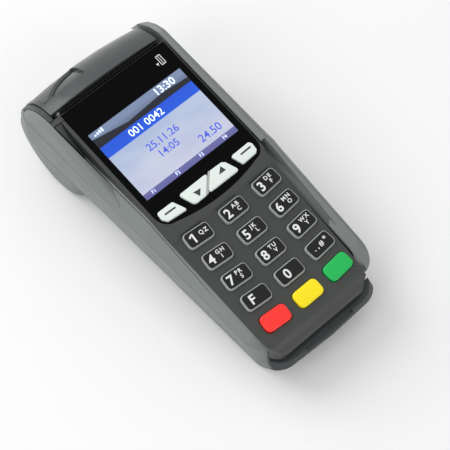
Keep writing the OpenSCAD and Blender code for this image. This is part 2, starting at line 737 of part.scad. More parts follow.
module keypad_plate(h, t, d) {
    difference() {
        on_keys() translate([-(seam_half - 3.4 - d), nose_s + 3.5 + d, -h])
            cube([seam_half - 3.4 + keypad_right - 3 - 2 * d, board_rear - nose_s - 3.5 - 2 * d, t]);
        for (p = boss_xy) translate([p[0], p[1], boss_top]) cylinder(h = 40, r = post_r + 0.4);
        if (d > 0) for (p = pad_xy) on_keys() translate([p[0], p[1], -h - 1]) cylinder(h = 4, r = pad_r + 0.3);
    }
}

module keypad_mat() {
    color([0.3, 0.3, 0.32]) keypad_plate(pad_top, mat_t, 1);
}

module keypad_board() {
    color(board_green) keypad_plate(pad_top + board_t, board_t, 0);
}

// Display

module display_window() {
    color(gloss_black) on_display() difference() {
        translate([0, 0, window_top - window_t]) linear_extrude(window_t) window_plan(-seat);
        for (n = NAV) translate([0, 0, -5]) linear_extrude(10) polygon(grown(n, nav_gap));
    }
}

module lcd_panel() {
    color([0.75, 0.79, 0.88]) on_display() translate([-panel_w / 2, -panel_l / 2, -window_t - 1.7 - panel_t])
        cube([panel_w, panel_l, panel_t]);
}

frame_t = 0.8;
module lcd_frame() {
    color(steel) on_display() difference() {
        translate([-panel_w / 2 - frame_t, -panel_l / 2 - frame_t, -window_t - 1.7 - panel_t - frame_t])
            cube([panel_w + 2 * frame_t, panel_l + 2 * frame_t, panel_t + frame_t + 0.98]);
        translate([-panel_w / 2 - seat, -panel_l / 2 - seat, -window_t - 1.7 - panel_t])
            cube([panel_w + 2 * seat, panel_l + 2 * seat, panel_t + 2]);
    }
}

// Chip reader

module bezel_room(d) {
    side_prism(-(base_half - 1 + d), base_half - 1 + d) polygon([[y_front - 1, floor_z - d],
        [y_front + 9.5 + d, floor_z - d], [y_front + 9.5 + d, card_z + 30], [y_front - 1, card_z + 30]]);
}

module card_bezel() {
    color(dark_grey) difference() {
        intersection() {
            hull() {
                for (s = [-1, 1]) {
                    corner(s * (base_half - 11), y_front + 18, 9, floor_z);
                    corner(s * (base_half - 10), y_front + 12.8, 11.6, card_z - 5);
                    corner(s * (base_half - 12), y_front + 13.4, 11.4, card_z - 1.2);
                }
                corner(0, y_front + 33, 33, card_z - 4);
            }
            bezel_room(0);
            block(-50, 50, y_front, y_front + 9.5, floor_z, card_z + 10);
        }
        on_card() translate([-card_slot_w / 2, -12, -card_slot_h / 2]) cube([card_slot_w, 30, 10]);
        on_card() translate([-15, -12, -2.2]) cube([30, 9.4, 10]);
        translate([-(base_half), y_front + 7.8, floor_z]) cube([2 * base_half, 3, card_z - floor_z - 5]);
    }
}

module reader_base() {
    color([0.1, 0.1, 0.1]) on_card() difference() {
        translate([-reader_w / 2, 4.4, -card_slot_h / 2 - 4]) cube([reader_w, reader_l, 4]);
        translate([-20, 18, -card_slot_h / 2 - 5]) cube([40, 24, 3]);
    }
}

module reader_cover() {
    color([0.16, 0.16, 0.17]) on_card() {
        difference() {
            translate([-reader_w / 2, 4.4, card_slot_h / 2]) cube([reader_w, reader_l, 3]);
            translate([-8, 26, card_slot_h / 2 - 1]) cube([16, 14, 5]);
        }
        for (x = [-reader_w / 2, card_slot_w / 2])
            translate([x, 4.4, -card_slot_h / 2]) cube([(reader_w - card_slot_w) / 2, reader_l, card_slot_h]);
    }
}

module chip_contacts() {
    color([0.83, 0.68, 0.25]) on_card() {
        translate([-7.9, 26.1, card_slot_h / 2 + 0.6]) cube([15.8, 13.8, 2.2]);
        for (i = [0:3], s = [0, 1]) translate([-4.9 + 2.54 * i, 29 + 7.6 * s, card_slot_h / 2])
            cube([1.6, 2, 0.7]);
    }
}

// Magnetic head of the swipe slot

mag_s = 30.3;                     // place of the head along the display surface
mag_half = 3.5;
mag_y = disp_pt(mag_s, 0)[0];
mag_z = disp_pt(mag_s, -6.2)[1];
mag_x = swipe_in - 4.2;

module mag_head() {
    color(steel) {
        block(mag_x, swipe_in - 0.4, mag_y - mag_half, mag_y + mag_half, mag_z - 4, mag_z + 4);
        intersection() {
            block(swipe_in - 0.6, swipe_in + 0.4, mag_y - mag_half, mag_y + mag_half, mag_z - 4, mag_z + 4);
            translate([swipe_in + 0.35 - 9, mag_y, mag_z - 4]) cylinder(h = 8, r = 9);
        }
    }
}

module mag_spring() {
    leg = mag_half + 1.4;
    color(steel) {
        block(mag_x - 1, mag_x - 0.7, mag_y - leg - 0.5, mag_y + leg + 0.5, mag_z - 2.5, mag_z + 2.5);
        for (s = [-1, 1]) block(mag_x - 1, swipe_in - skin - seat, mag_y + s * leg - 0.5, mag_y + s * leg + 0.5,
            mag_z - 2.5, mag_z + 2.5);
    }
}

// Boards

module main_board() {
    color(board_green) difference() {
        block(-main_w / 2, main_w / 2, main_y0, main_y1, main_z, main_z + board_t);
        for (p = board_xy) translate([p[0], p[1], main_z - 1]) cylinder(h = 5, r = 1.3);
    }
}

module board_parts() {
    z = main_z + board_t;
    color([0.12, 0.12, 0.13]) {
        block(-18, 0, -8, 10, z, z + 1.4);
        block(6, 16, -6, 4, z, z + 1.1);
        block(6, 14, 8, 14, z, z + 1);
        for (i = [0:4]) block(-24 + 4.5 * i, -21.6 + 4.5 * i, 18, 20, z, z + 1.8);
        translate([-18, 26.5, z]) cylinder(h = 4.5, r = 4.5);
    }
}

module coin_cell() {
    color(steel) translate([15, 22, main_z + board_t]) cylinder(h = 3.2, r = 6.2);
}

module cable_socket() {
    color([0.1, 0.1, 0.1]) difference() {
        block(socket_x - 8, socket_x + 6, 5.5, 16.5, base_z + door_t + 0.4, main_z - seat);
        block(socket_x - 2, socket_x + 7, 7, 15, base_z + door_t + 1.2, main_z - 2);
    }
}

module cable_door() {
    color(light_grey) difference() {
        block(door_x[0] + seat, door_x[1] - seat, door_y[0] + seat, door_y[1] - seat, base_z, base_z + door_t);
        block(door_x[1] - 2, door_x[1] + 2, 7.6, 14.4, -1, base_z + 6);
    }
}

module rubber_feet() {
    color([0.06, 0.06, 0.06]) for (p = foot_xy) translate([p[0], p[1], 0])
        cylinder(h = base_z + foot_in, r = foot_r);
}

module case_screws() {
    color(steel) for (p = boss_xy) translate([p[0], p[1], base_z + 3]) {
        rotate([180, 0, 0]) cylinder(h = 1.6, r = 1.9);
        cylinder(h = boss_top - base_z - 3 + 6, r = 0.88);
    }
}

module board_screws() {
    color(steel) for (p = board_xy) translate([p[0], p[1], main_z + board_t]) {
        cylinder(h = 1.2, r = 2);
        translate([0, 0, -7]) cylinder(h = 7 + eps, r = 0.88);
    }
}

// Printer

// Barrel of the cover: radius r in the middle, less towards the ends
crown_x = -6;
crown_r = 260;
function barrel_r(r, x) = r - crown_r + sqrt(pow(crown_r, 2) - pow(x - crown_x, 2));
module barrel(r, x0, x1, a0, a1, n = 2) {
    translate([0, hump_y, hump_z]) rotate([0, 90, 0]) rotate([0, 0, 90 + a0])
        rotate_extrude(angle = a1 - a0, $fn = 128) polygon(concat([[0, x0]],
            [for (i = [0:n]) let (x = x0 + (x1 - x0) * i / n) [barrel_r(r, x), x]], [[0, x1]]));
}

cover_front = platen_y - 2.4;       // front lip of the cover
catch_left = cover_left + 2;
catch_right = -8;                   // right end of the catch
scoop_a = 67;                       // angle where the finger scoop starts
catch_depth = 1.85;                 // floor of the recess below the cover's surface
catch_t = 1.2;
catch_low = 9;                      // lower end of the catch, in degrees
function on_hump(r, a) = [hump_y + r * cos(a), hump_z + r * sin(a)];
catch_pivot = on_hump(cover_r - 3.2, catch_low - 1);

module barrel_shell(r, t, x0, x1, a0, a1) {
    difference() {
        barrel(r, x0, x1, a0, a1);
        barrel(r - t, x0 - 1, x1 + 1, a0 - 3, a1 + 3);
    }
}

module paper_cover() {
    color([0.35, 0.36, 0.36]) difference() {
        union() {
            difference() {
                barrel(cover_r, cover_left, cover_right, 1.5, 96, 6);
                barrel(cover_r - cover_t, cover_left + 1.5, cover_right - 1.4, -4, 100, 6);
                rod(cover_left - 1, cover_right + 1, hump_y, hump_z, cover_r - 6);
                block(-60, 60, hump_y - 30, cover_front, hump_z - 9, body_h + 5);
                side_prism(catch_left, catch_right) polygon([on_hump(cover_r - 6, scoop_a),
                    on_hump(cover_r + 3, scoop_a), on_hump(cover_r * 1.3, scoop_a / 2),
                    on_hump(cover_r + 3, catch_low - 3), on_hump(cover_r - 6, catch_low - 3)]);
            }
            barrel_shell(cover_r - catch_depth, 1.25, catch_left - 1.2, catch_right + 1.2, 2, scoop_a + 3);
            for (x = arm_x) {
                side_prism(x[0], x[1]) polygon([[platen_y - 3, platen_z], on_hump(cover_r - 2.6, 85),
                    on_hump(cover_r - 2.6, 70), [platen_y + 3, platen_z]]);
                rod(x[0], x[1], platen_y, platen_z, 3);
            }
            for (x = knuckle_cover) {
                rod(x[0], x[1], hinge_y, hinge_z, knuckle_r);
                block(x[0], x[1], hinge_y - 1.4, hinge_y + 1.2, hinge_z, hump_z + 2);
            }
        }
        rod(-60, 60, hinge_y, hinge_z, hinge_pin_r + fit);
        rod(-60, 60, platen_y, platen_z, shaft_r + fit);
        for (x = knuckle_fixed) rod(x[0] - gap, x[1] + gap, hinge_y, hinge_z, knuckle_r + gap);
        rod(catch_left - 0.8, catch_right + 0.8, catch_pivot[0], catch_pivot[1], pin_r);
        rod(catch_left, catch_right, catch_pivot[0], catch_pivot[1], catch_barrel_r + gap);
    }
}

arm_x = [[bay_left - 1.2, bay_left], [bay_right, bay_right + 1]];
pin_r = 0.7;
catch_barrel_r = 1.5;

// The catch: a plate in the cover's recess with a slanted upper edge, hinged at its lower end
module cover_catch() {
    x0 = catch_left + gap;
    x1 = catch_right - gap;
    color([0.42, 0.43, 0.43]) difference() {
        union() {
            intersection() {
                barrel_shell(cover_r - 0.3, catch_t, x0, x1, catch_low, scoop_a - 2);
                catch_outline();
            }
            difference() {
                barrel(cover_r - 0.4, x0 + 0.1, x1 - 0.1, catch_low - 1, catch_low + 2);
                rod(x0 - 1, x1 + 1, hump_y, hump_z, cover_r - 4);
            }
            rod(x0, x1, catch_pivot[0], catch_pivot[1], catch_barrel_r);
        }
        rod(x0 - 1, x1 + 1, catch_pivot[0], catch_pivot[1], pin_r + fit);
    }
}

// Seen from the rear, the catch is cut along a slanted line
module catch_outline() {
    high = on_hump(cover_r, 64)[1];
    low = on_hump(cover_r, 30)[1];
    rotate([90, 0, 0]) translate([0, 0, -y_rear - 5]) linear_extrude(y_rear)
        polygon([[catch_right, hump_z - 5], [catch_left, hump_z - 5], [catch_left, high], [catch_right, low]]);
}

module catch_pin() {
    color(steel) rod(catch_left - 0.78, catch_right + 0.78, catch_pivot[0], catch_pivot[1], pin_r - 0.01);
}

module cover_pin() {
    color(steel) rod(cover_left - 1.2, cover_right + 0.8, hinge_y, hinge_z, hinge_pin_r - 0.01);
}

module platen_roller() {
    color([0.1, 0.1, 0.1]) difference() {
        rod(bay_left + 0.4, bay_right - 0.8, platen_y, platen_z, platen_r);
        rod(-60, 60, platen_y, platen_z, shaft_r);
    }
}

module platen_shaft() {
    color(steel) rod(gear_x - 0.4, bay_right + 1, platen_y, platen_z, shaft_r);
}

// Gears

function involute(rb, t) = rb * [cos(t) + t * PI / 180 * sin(t), sin(t) - t * PI / 180 * cos(t)];
function spun(p, a) = [p[0] * cos(a) - p[1] * sin(a), p[0] * sin(a) + p[1] * cos(a)];

module gear_outline(teeth) {
    rp = gear_m * teeth / 2;
    rb = rp * cos(20);
    tip = rp + 0.75 * gear_m;
    root = rp - 1.05 * gear_m;
    t_at = function (r) r <= rb ? 0 : sqrt(pow(r / rb, 2) - 1) * 180 / PI;
    inv_p = t_at(rp) - atan(t_at(rp) * PI / 180);
    half_tooth = 90 / teeth - mesh_play / 2 / rp * 180 / PI;
    flank = [for (i = [0:4]) let (r = max(rb, root) + (tip - max(rb, root)) * i / 4)
        spun(involute(rb, t_at(r)), -half_tooth - inv_p)];
    start = root < rb ? [unit(flank[0]) * root] : [];
    side = concat(start, flank);
    polygon([for (k = [0:teeth - 1]) each [for (p = concat(side,
        [for (i = [len(side) - 1:-1:0]) [side[i][0], -side[i][1]]])) spun(p, 360 / teeth * k)]]);
}

module gear(teeth, place, turn, bore, x0 = gear_x) {
    translate([x0, place[0], place[1]]) rotate([90, 0, 90]) linear_extrude(gear_t) difference() {
        rotate(turn) gear_outline(teeth);
        circle(bore, $fn = 32);
    }
}

function centre_distance(a, b) = gear_m * (a + b) / 2 + mesh_play / 2;
function meshed(turn, za, zb, way) = way + 180 - (0.5 - (way - turn) * za / 360) * 360 / zb;

idler_way = 240;
platen_at = [platen_y, platen_z];
idler_at = platen_at + centre_distance(platen_teeth, idler_teeth) * [cos(idler_way), sin(idler_way)];
motor_at = idler_at + [-21, -7.5];
// The drive gear sits where its two centre distances cross, on the lower side
drive_run = motor_at - idler_at;
drive_a = (pow(centre_distance(idler_teeth, drive_teeth), 2)
    - pow(centre_distance(drive_teeth, pinion_teeth), 2) + drive_run * drive_run) / 2 / norm(drive_run);
drive_h = sqrt(pow(centre_distance(idler_teeth, drive_teeth), 2) - pow(drive_a, 2));
drive_at = idler_at + drive_a * unit(drive_run) - drive_h * turned(unit(drive_run));
function way_to(a, b) = atan2(b[1] - a[1], b[0] - a[0]);
idler_turn = meshed(0, platen_teeth, idler_teeth, idler_way);
drive_turn = meshed(idler_turn, idler_teeth, drive_teeth, way_to(idler_at, drive_at));
pinion_turn = meshed(drive_turn, drive_teeth, pinion_teeth, way_to(drive_at, motor_at));
axle_r = 1;

module platen_gear() { color(pale) gear(platen_teeth, platen_at, 0, shaft_r); }
module idler_gear() { color(pale) gear(idler_teeth, idler_at, idler_turn, axle_r + fit); }
module drive_gear() { color(pale) gear(drive_teeth, drive_at, drive_turn, axle_r + fit); }
module motor_pinion() {
    color([0.8, 0.66, 0.3]) {
        gear(pinion_teeth, motor_at, pinion_turn, 0.75);
        rod(gear_x, plate_left + plate_t + 0.4, motor_at[0], motor_at[1], 0.75);
    }
}

module gear_axles() {
    color(steel) for (p = [idler_at, drive_at]) rod(gear_x - 0.2, plate_left, p[0], p[1], axle_r);
}

module motor() {
    color(steel) difference() {
        rod(plate_left + plate_t, plate_left + plate_t + motor_len, motor_at[0], motor_at[1], motor_r);
        rod(plate_left, plate_left + plate_t + 1, motor_at[0], motor_at[1], 0.75 + fit);
    }
}

plate_right = bay_right + 0.1;
module printer_frame() {
    deck = tray_top + seat;     // stands on the paper tray
    brace = hump_y - 7;
    color([0.2, 0.2, 0.21]) {
        difference() {
            side_prism(plate_left, plate_left + plate_t) polygon([[motor_at[0] - 7, motor_at[1] - 7],
                [roll_y - bay_r - 1.5, deck], [hump_y + 10, deck], [hump_y + 10, head_pivot_z + 1],
                [hump_y - 4, head_pivot_z + 2], [motor_at[0] - 7, motor_at[1] + 7]]);
            rod(plate_left - 1, plate_left + 3, motor_at[0], motor_at[1], 0.75 + fit);
        }
        side_prism(plate_right, plate_right + plate_t) polygon([[brace, deck], [hump_y + 6, deck],
            [hump_y + 6, head_pivot_z + 1], [brace, head_pivot_z + 1.6]]);
        block(plate_left + plate_t - eps, plate_right + eps, brace, brace + 1.4, head_pivot_z - 3,
            head_pivot_z + 1.6);
    }
}

module print_head() {
    color([0.75, 0.72, 0.66]) {
        block(bay_left + 2, bay_right - 2, head_face - head_t, head_face, head_pivot_z - 1, platen_z + 1.4);
        rod(plate_left + plate_t + 0.1, plate_right - 0.1, head_face - head_t, head_pivot_z, 1.2);
    }
}

module tear_bar() {
    z_top = disp_pt(window_rear, window_top)[1];
    color(steel) {
        block(bay_left - 0.6, bay_right + 0.6, head_face - 0.35 + seat, head_face + 0.15, z_top - 2, z_top + 1.4);
        for (x = [bay_left + 0.6:2:bay_right]) translate([x, head_face - 0.33, z_top + 1.4 - eps])
            rotate([90, 0, 0]) translate([0, 0, -0.48]) linear_extrude(0.48)
                polygon([[-0.9, 0], [0.9, 0], [0, 0.9]]);
    }
}

module paper_roll() {
    color([0.97, 0.97, 0.96]) side_prism(bay_left + 0.5, bay_right - 0.5) translate([roll_y, roll_z - 0.6])
        difference() {
            circle(roll_r, $fn = 96);
            circle(6.5);
        }
}

module roll_core() {
    color([0.7, 0.58, 0.42]) side_prism(bay_left + 0.5, bay_right - 0.5) translate([roll_y, roll_z - 0.6])
        difference() {
            circle(6.5);
            circle(5);
        }
}

bottom_case();
rear_hips();
side_rail();
top_case();
card_bezel();
display_window();
lcd_panel();
lcd_frame();
nav_left();
nav_down();
nav_up();
nav_right();
key_1();
key_2();
key_3();
key_4();
key_5();
key_6();
key_7();
key_8();
key_9();
key_f();
key_0();
key_dot();
key_cancel();
key_clear();
key_enter();
keypad_mat();
keypad_board();
main_board();
board_parts();
coin_cell();
reader_base();
reader_cover();
chip_contacts();
mag_head();
mag_spring();
paper_cover();
cover_catch();
cover_pin();
catch_pin();
platen_roller();
platen_shaft();
platen_gear();
idler_gear();
drive_gear();
motor();
motor_pinion();
print_head();
printer_frame();
gear_axles();
tear_bar();
paper_tray();
paper_roll();
roll_core();
cable_socket();
cable_door();
rubber_feet();
case_screws();
board_screws();
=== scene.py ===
"""Looks of a countertop payment terminal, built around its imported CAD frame.

Sizes are in millimetres, in the frame of the CAD: the origin is on the table under the middle of the
body, the user stands at -Y and +X is the user's right. Meshes are scaled to metres as they are finished.
"""

import json
import logging
import math
from collections.abc import Iterator
from contextlib import contextmanager
from dataclasses import dataclass, field
from enum import Enum, IntEnum

import bmesh
import bpy
from mathutils import Matrix, Vector
from mathutils.bvhtree import BVHTree

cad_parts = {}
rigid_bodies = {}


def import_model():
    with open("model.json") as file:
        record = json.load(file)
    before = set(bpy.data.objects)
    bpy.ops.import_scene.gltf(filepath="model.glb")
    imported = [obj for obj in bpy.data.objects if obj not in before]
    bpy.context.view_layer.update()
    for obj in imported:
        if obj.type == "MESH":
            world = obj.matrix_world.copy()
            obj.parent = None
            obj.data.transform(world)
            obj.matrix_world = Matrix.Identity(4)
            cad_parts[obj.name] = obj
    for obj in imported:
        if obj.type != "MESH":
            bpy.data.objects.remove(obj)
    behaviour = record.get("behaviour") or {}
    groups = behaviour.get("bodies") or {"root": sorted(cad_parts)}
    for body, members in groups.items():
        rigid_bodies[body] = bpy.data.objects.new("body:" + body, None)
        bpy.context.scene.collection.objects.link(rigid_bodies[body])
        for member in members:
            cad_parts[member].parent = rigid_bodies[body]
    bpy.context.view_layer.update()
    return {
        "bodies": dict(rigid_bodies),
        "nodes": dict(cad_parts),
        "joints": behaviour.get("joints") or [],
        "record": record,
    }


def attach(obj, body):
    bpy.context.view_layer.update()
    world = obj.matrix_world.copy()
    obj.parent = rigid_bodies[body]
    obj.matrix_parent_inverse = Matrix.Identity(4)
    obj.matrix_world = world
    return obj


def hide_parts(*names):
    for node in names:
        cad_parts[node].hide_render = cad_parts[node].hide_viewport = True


LOG = logging.getLogger("terminal")
MM = 0.001
PER_METRE = 1000

# Outer sizes that several classes share
HALF_W = 41.4
Y_FRONT = -92.5
Y_REAR = 92.5
BASE_Z = 0.8
BASE_HALF = 33.5
HIP_HALF = 39.5
SEAM_HALF = 34.2
CREASE_Z = 42.4
SEAM_Z = 48.0
HUMP_Y = 64.1
HUMP_Z = 35.5
COVER_R = 27.0
COVER_LEFT = -36.0
COVER_RIGHT = 30.3
RAIL_IN = 34.0
SWIPE_IN = 32.6
KEYPAD_RIGHT = 30.8
SLOT_END = -34.0
SLOT_FLOOR = -12.5
NOSE_S = -58.5
HINGE_Y = 89.5
HINGE_Z = 33.0
HINGE_PIN_R = 1.0
KNUCKLE_R = 2.8
RIDGE_X = 36.4
WINDOW_LEVEL = 0.83
GAP = 0.3

# How the hulls' discs and balls are drawn
HULL_STEPS = 48
DISC_HEIGHT = 0.4
BALL_RINGS = 8
BALL_STEPS = 16

# Where a cutter has left the body behind
PAST_SIDE = 43
PAST_TOP = 74
PAST_REAR = 94.0
BELOW = -1

# The height of a capital letter as a share of its type size
CAPITAL_SHARE = 0.7

Thing = bpy.types.Object
Socket = bpy.types.NodeSocket
Point2 = tuple[float, float]
Point3 = tuple[float, float, float]


class Slope(Enum):
    """A sloped surface of the body, as the Y and Z of its origin and its tilt in degrees."""

    DISPLAY = (26.5, 52.4, 8.5)
    KEYPAD = (-23.238, 43.551, 12.0)

    def matrix(self) -> Matrix:
        """Returns the transform from the surface's own coordinates to the body's."""
        y, z, tilt = self.value
        return Matrix.Translation((0, y, z)) @ Matrix.Rotation(math.radians(tilt), 4, "X")

    def point(self, along: float, height: float) -> Point2:
        """Returns the body's Y and Z of a point on the middle line of the surface."""
        spot = self.matrix() @ Vector((0, along, height))
        return spot.y, spot.z


# Finishes


@dataclass(frozen=True)
class Shade:
    """A colour as it is seen, in red, green and blue from 0 to 255."""

    red: float
    green: float
    blue: float

    def linear(self, gain: float = 1.0) -> tuple[float, float, float, float]:
        """Gives the colour as a shader takes it.

        Args:
            gain: how much brighter than the colour itself.

        Returns:
            Linear red, green, blue and a full alpha.
        """
        parts = []
        for value in (self.red, self.green, self.blue):
            share = value / 255
            flat = share / 12.92 if share <= 0.04045 else ((share + 0.055) / 1.055) ** 2.4
            parts.append(min(1.0, flat * gain))
        return parts[0], parts[1], parts[2], 1.0


class NodeSheet:
    """A node tree and the ways to fill it."""

    def __init__(self, tree: bpy.types.NodeTree) -> None:
        """Takes a tree and empties it."""
        self.tree = tree
        self.tree.nodes.clear()

    def feed(self, value: object, socket: Socket) -> None:
        """Gives an input its value.

        Args:
            value: a number, a colour or another node's output.
            socket: the input.
        """
        if isinstance(value, Socket):
            self.tree.links.new(value, socket)
        else:
            socket.default_value = value

    def add(self, kind: str, inputs: dict | None = None, **settings: object) -> bpy.types.Node:
        """Adds a node.

        Args:
            kind: the type of the node, by its name in Blender.
            inputs: what its inputs take, by their names or numbers.
            settings: its own properties.

        Returns:
            The new node.
        """
        node = self.tree.nodes.new(kind)
        for name, setting in settings.items():
            setattr(node, name, setting)
        for name, value in (inputs or {}).items():
            self.feed(value, node.inputs[name])
        return node


class ShaderSheet(NodeSheet):
    """The node tree of one material, with a Principled shader at its end."""

    def __init__(self, name: str) -> None:
        """Starts an empty tree for the material of that name.

        Args:
            name: the material's name.
        """
        self.material = bpy.data.materials.new(name)
        self.material.use_nodes = True
        super().__init__(self.material.node_tree)
        self.shader = self.add("ShaderNodeBsdfPrincipled")
        self.add("ShaderNodeOutputMaterial", {"Surface": self.shader.outputs[0]})
        self.place = self.add("ShaderNodeTexCoord").outputs["Object"]

    def put(self, inputs: dict[str, object]) -> None:
        """Gives the shader's inputs their values, by name."""
        for name, value in inputs.items():
            self.feed(value, self.shader.inputs[name])

    def noise(self, size: float, detail: float = 2.0, stretch: Point2 | None = None,
              axis: int = 0) -> Socket:
        """Adds a noise pattern in the piece's own coordinates.

        Args:
            size: how wide the pattern's marks are, in millimetres.
            detail: how many finer layers it has.
            stretch: scales along the chosen axis and across it, for brushed and extruded surfaces.
            axis: the axis of the stretch, 0 for X, 1 for Y, 2 for Z.

        Returns:
            The pattern, about 0 to 1.
        """
        place = self.place
        if stretch is not None:
            scales = [stretch[1]] * 3
            scales[axis] = stretch[0]
            place = self.add("ShaderNodeMapping", {"Scale": scales, "Vector": place}).outputs["Vector"]
        inputs = {"Scale": PER_METRE / size, "Detail": detail, "Vector": place}
        return self.add("ShaderNodeTexNoise", inputs).outputs["Fac"]

    def cells(self, size: float) -> Socket:
        """Returns the distance pattern of cells about size millimetres wide."""
        inputs = {"Scale": PER_METRE / size, "Vector": self.place}
        return self.add("ShaderNodeTexVoronoi", inputs).outputs["Distance"]

    def span(self, value: Socket, low: float, high: float, start: float = 0.3,
             stop: float = 0.7) -> Socket:
        """Maps a pattern's start to stop onto low to high."""
        inputs = {"From Min": start, "From Max": stop, "To Min": low, "To Max": high, "Value": value}
        return self.add("ShaderNodeMapRange", inputs).outputs[0]

    def mix(self, share: Socket, first: object, second: object) -> Socket:
        """Returns a colour between first and second, by share."""
        return self.add("ShaderNodeMix", {0: share, 6: first, 7: second}, data_type="RGBA").outputs[2]

    def times(self, first: object, second: object) -> Socket:
        """Returns the product of two values."""
        return self.add("ShaderNodeMath", {0: first, 1: second}, operation="MULTIPLY").outputs[0]

    def height(self, axis: str, start: float, stop: float) -> Socket:
        """Returns 0 to 1 along X, Y or Z of the piece, from start to stop in millimetres."""
        parts = self.add("ShaderNodeSeparateXYZ", {0: self.place})
        return self.span(parts.outputs[axis], 0.0, 1.0, start * MM, stop * MM)

    def edge_wear(self, radius: float) -> Socket:
        """Compares the rounded normal of the edges with the true one, to find rubbed corners.

        Args:
            radius: how far the wear reaches from an edge, in millimetres.

        Returns:
            A pattern that is 1 on edges and 0 on flats.
        """
        rounded = self.add("ShaderNodeBevel", {"Radius": radius * MM}, samples=4)
        flat = self.add("ShaderNodeNewGeometry")
        dot = self.add("ShaderNodeVectorMath", {0: rounded.outputs[0], 1: flat.outputs["Normal"]},
                       operation="DOT_PRODUCT")
        return self.span(dot.outputs["Value"], 1.0, 0.0, 0.8, 0.985)

    def bump(self, pattern: Socket, depth: float, strength: float = 1.0) -> None:
        """Adds relief from a pattern, on top of any relief before it.

        Args:
            pattern: the heights, 0 to 1.
            depth: the height of 1, in millimetres.
            strength: the share of the relief that is used.
        """
        inputs = {"Distance": depth * MM, "Strength": strength, "Height": pattern}
        node = self.add("ShaderNodeBump", inputs)
        before = self.shader.inputs["Normal"].links
        if before:
            self.feed(before[0].from_socket, node.inputs["Normal"])
        self.put({"Normal": node.outputs[0]})


@dataclass(frozen=True)
class Finish:
    """What a surface is made of. Each finish makes its material once."""

    name: str
    shade: Shade

    def lay(self, sheet: ShaderSheet) -> None:
        """Fills the sheet's nodes; each finish has its own way."""
        raise NotImplementedError

    def material(self) -> bpy.types.Material:
        """Returns the finish's material, which is made on first use."""
        found = bpy.data.materials.get(self.name)
        if found is None:
            sheet = ShaderSheet(self.name)
            self.lay(sheet)
            found = sheet.material
        return found


@dataclass(frozen=True)
class MouldedPlastic(Finish):
    """Injection-moulded plastic with a fine spark-eroded grain.

    The right shade tone is painted shade: the outer strip on the device's right, where the rail turns
    down away from the light, is coloured darker, as this share of the colour itself.
    """

    roughness: float = 0.5
    grain: float = 0.45
    relief: float = 0.03
    drift: float = 0.05
    wear: float = 0.0
    specular: float = 0.5
    # Painted shade: the share of the colour on the right outer strip, which faces away from the light
    right_shade_tone: float = 1.0
    shade_strip_start: float = 36.9
    shade_strip_full: float = 38.0

    def lay(self, sheet: ShaderSheet) -> None:
        """Colour that drifts a little, painted shade darkening the right outer strip where it is set, a fine
        grain, and edges rubbed paler.

        Args:
            sheet: the nodes of the finish's material.
        """
        tone = self.shade.linear
        drift = sheet.noise(28, 3)
        speck = sheet.noise(self.grain, 1)
        colour = sheet.mix(sheet.span(drift, 0, 1), tone(1 - self.drift), tone(1 + self.drift))
        # Painted shade: darkens the outer strip on the right, ramped in along X
        if self.right_shade_tone != 1.0:
            strip = sheet.height("X", self.shade_strip_start, self.shade_strip_full)
            colour = sheet.mix(strip, colour, tone(self.right_shade_tone))
        colour = sheet.mix(sheet.span(speck, 0, 0.22, 0.5, 0.7), colour, tone(1.35))
        if self.wear > 0:
            worn = sheet.times(sheet.edge_wear(0.5), sheet.span(sheet.noise(6, 4), 0, self.wear, 0.35, 0.6))
            colour = sheet.mix(worn, colour, tone(1.7))
        rough = sheet.span(sheet.noise(9, 3), self.roughness - 0.05, self.roughness + 0.06)
        sheet.put({"Base Color": colour, "Roughness": rough, "Specular IOR Level": self.specular})
        sheet.bump(speck, self.relief)


@dataclass(frozen=True)
class PolishedPlastic(Finish):
    """Polished or lacquered plastic: smooth, with faint dust and a slightly wavy surface."""

    roughness: float = 0.12
    coat: float = 0.0
    specular: float = 0.5

    def lay(self, sheet: ShaderSheet) -> None:
        """A deep even colour, a few pale specks of dust and a wavy polish.

        Args:
            sheet: the nodes of the finish's material.
        """
        dust = sheet.span(sheet.noise(0.5, 2), 0, 0.12, 0.66, 0.74)
        smear = sheet.span(sheet.noise(14, 4), self.roughness * 0.7, self.roughness * 1.6)
        sheet.put({"Base Color": sheet.mix(dust, self.shade.linear(), self.shade.linear(3.0)),
                   "Roughness": smear, "Specular IOR Level": self.specular,
                   "Coat Weight": self.coat, "Coat Roughness": 0.05})
        sheet.bump(sheet.noise(11, 2), 0.02, 0.4)


@dataclass(frozen=True)
class SoftRubber(Finish):
    """Rubber or silicone: dull, with a faint bloom."""

    roughness: float = 0.8

    def lay(self, sheet: ShaderSheet) -> None:
        """A dull colour with bloom in patches and a fine pebbled surface.

        Args:
            sheet: the nodes of the finish's material.
        """
        bloom = sheet.span(sheet.noise(5, 4), 0, 0.6)
        sheet.put({"Base Color": sheet.mix(bloom, self.shade.linear(0.85), self.shade.linear(1.3)),
                   "Roughness": sheet.span(bloom, self.roughness - 0.1, self.roughness + 0.08, 0, 1),
                   "Sheen Weight": 0.15})
        sheet.bump(sheet.noise(0.3, 2), 0.03)


@dataclass(frozen=True)
class DrawnMetal(Finish):
    """Metal with the lines of its drawing, rolling or turning along one axis."""

    roughness: float = 0.3
    axis: int = 0
    line: float = 0.4

    def lay(self, sheet: ShaderSheet) -> None:
        """Fine lines along the axis, with tarnish in patches.

        Args:
            sheet: the nodes of the finish's material.
        """
        lines = sheet.noise(self.line, 2, (0.05, 1.0), self.axis)
        tarnish = sheet.span(sheet.noise(7, 4), 0, 0.5)
        sheet.put({"Base Color": sheet.mix(tarnish, self.shade.linear(), self.shade.linear(0.7)),
                   "Roughness": sheet.span(lines, self.roughness - 0.08, self.roughness + 0.12),
                   "Metallic": 1.0})
        sheet.bump(lines, 0.01)


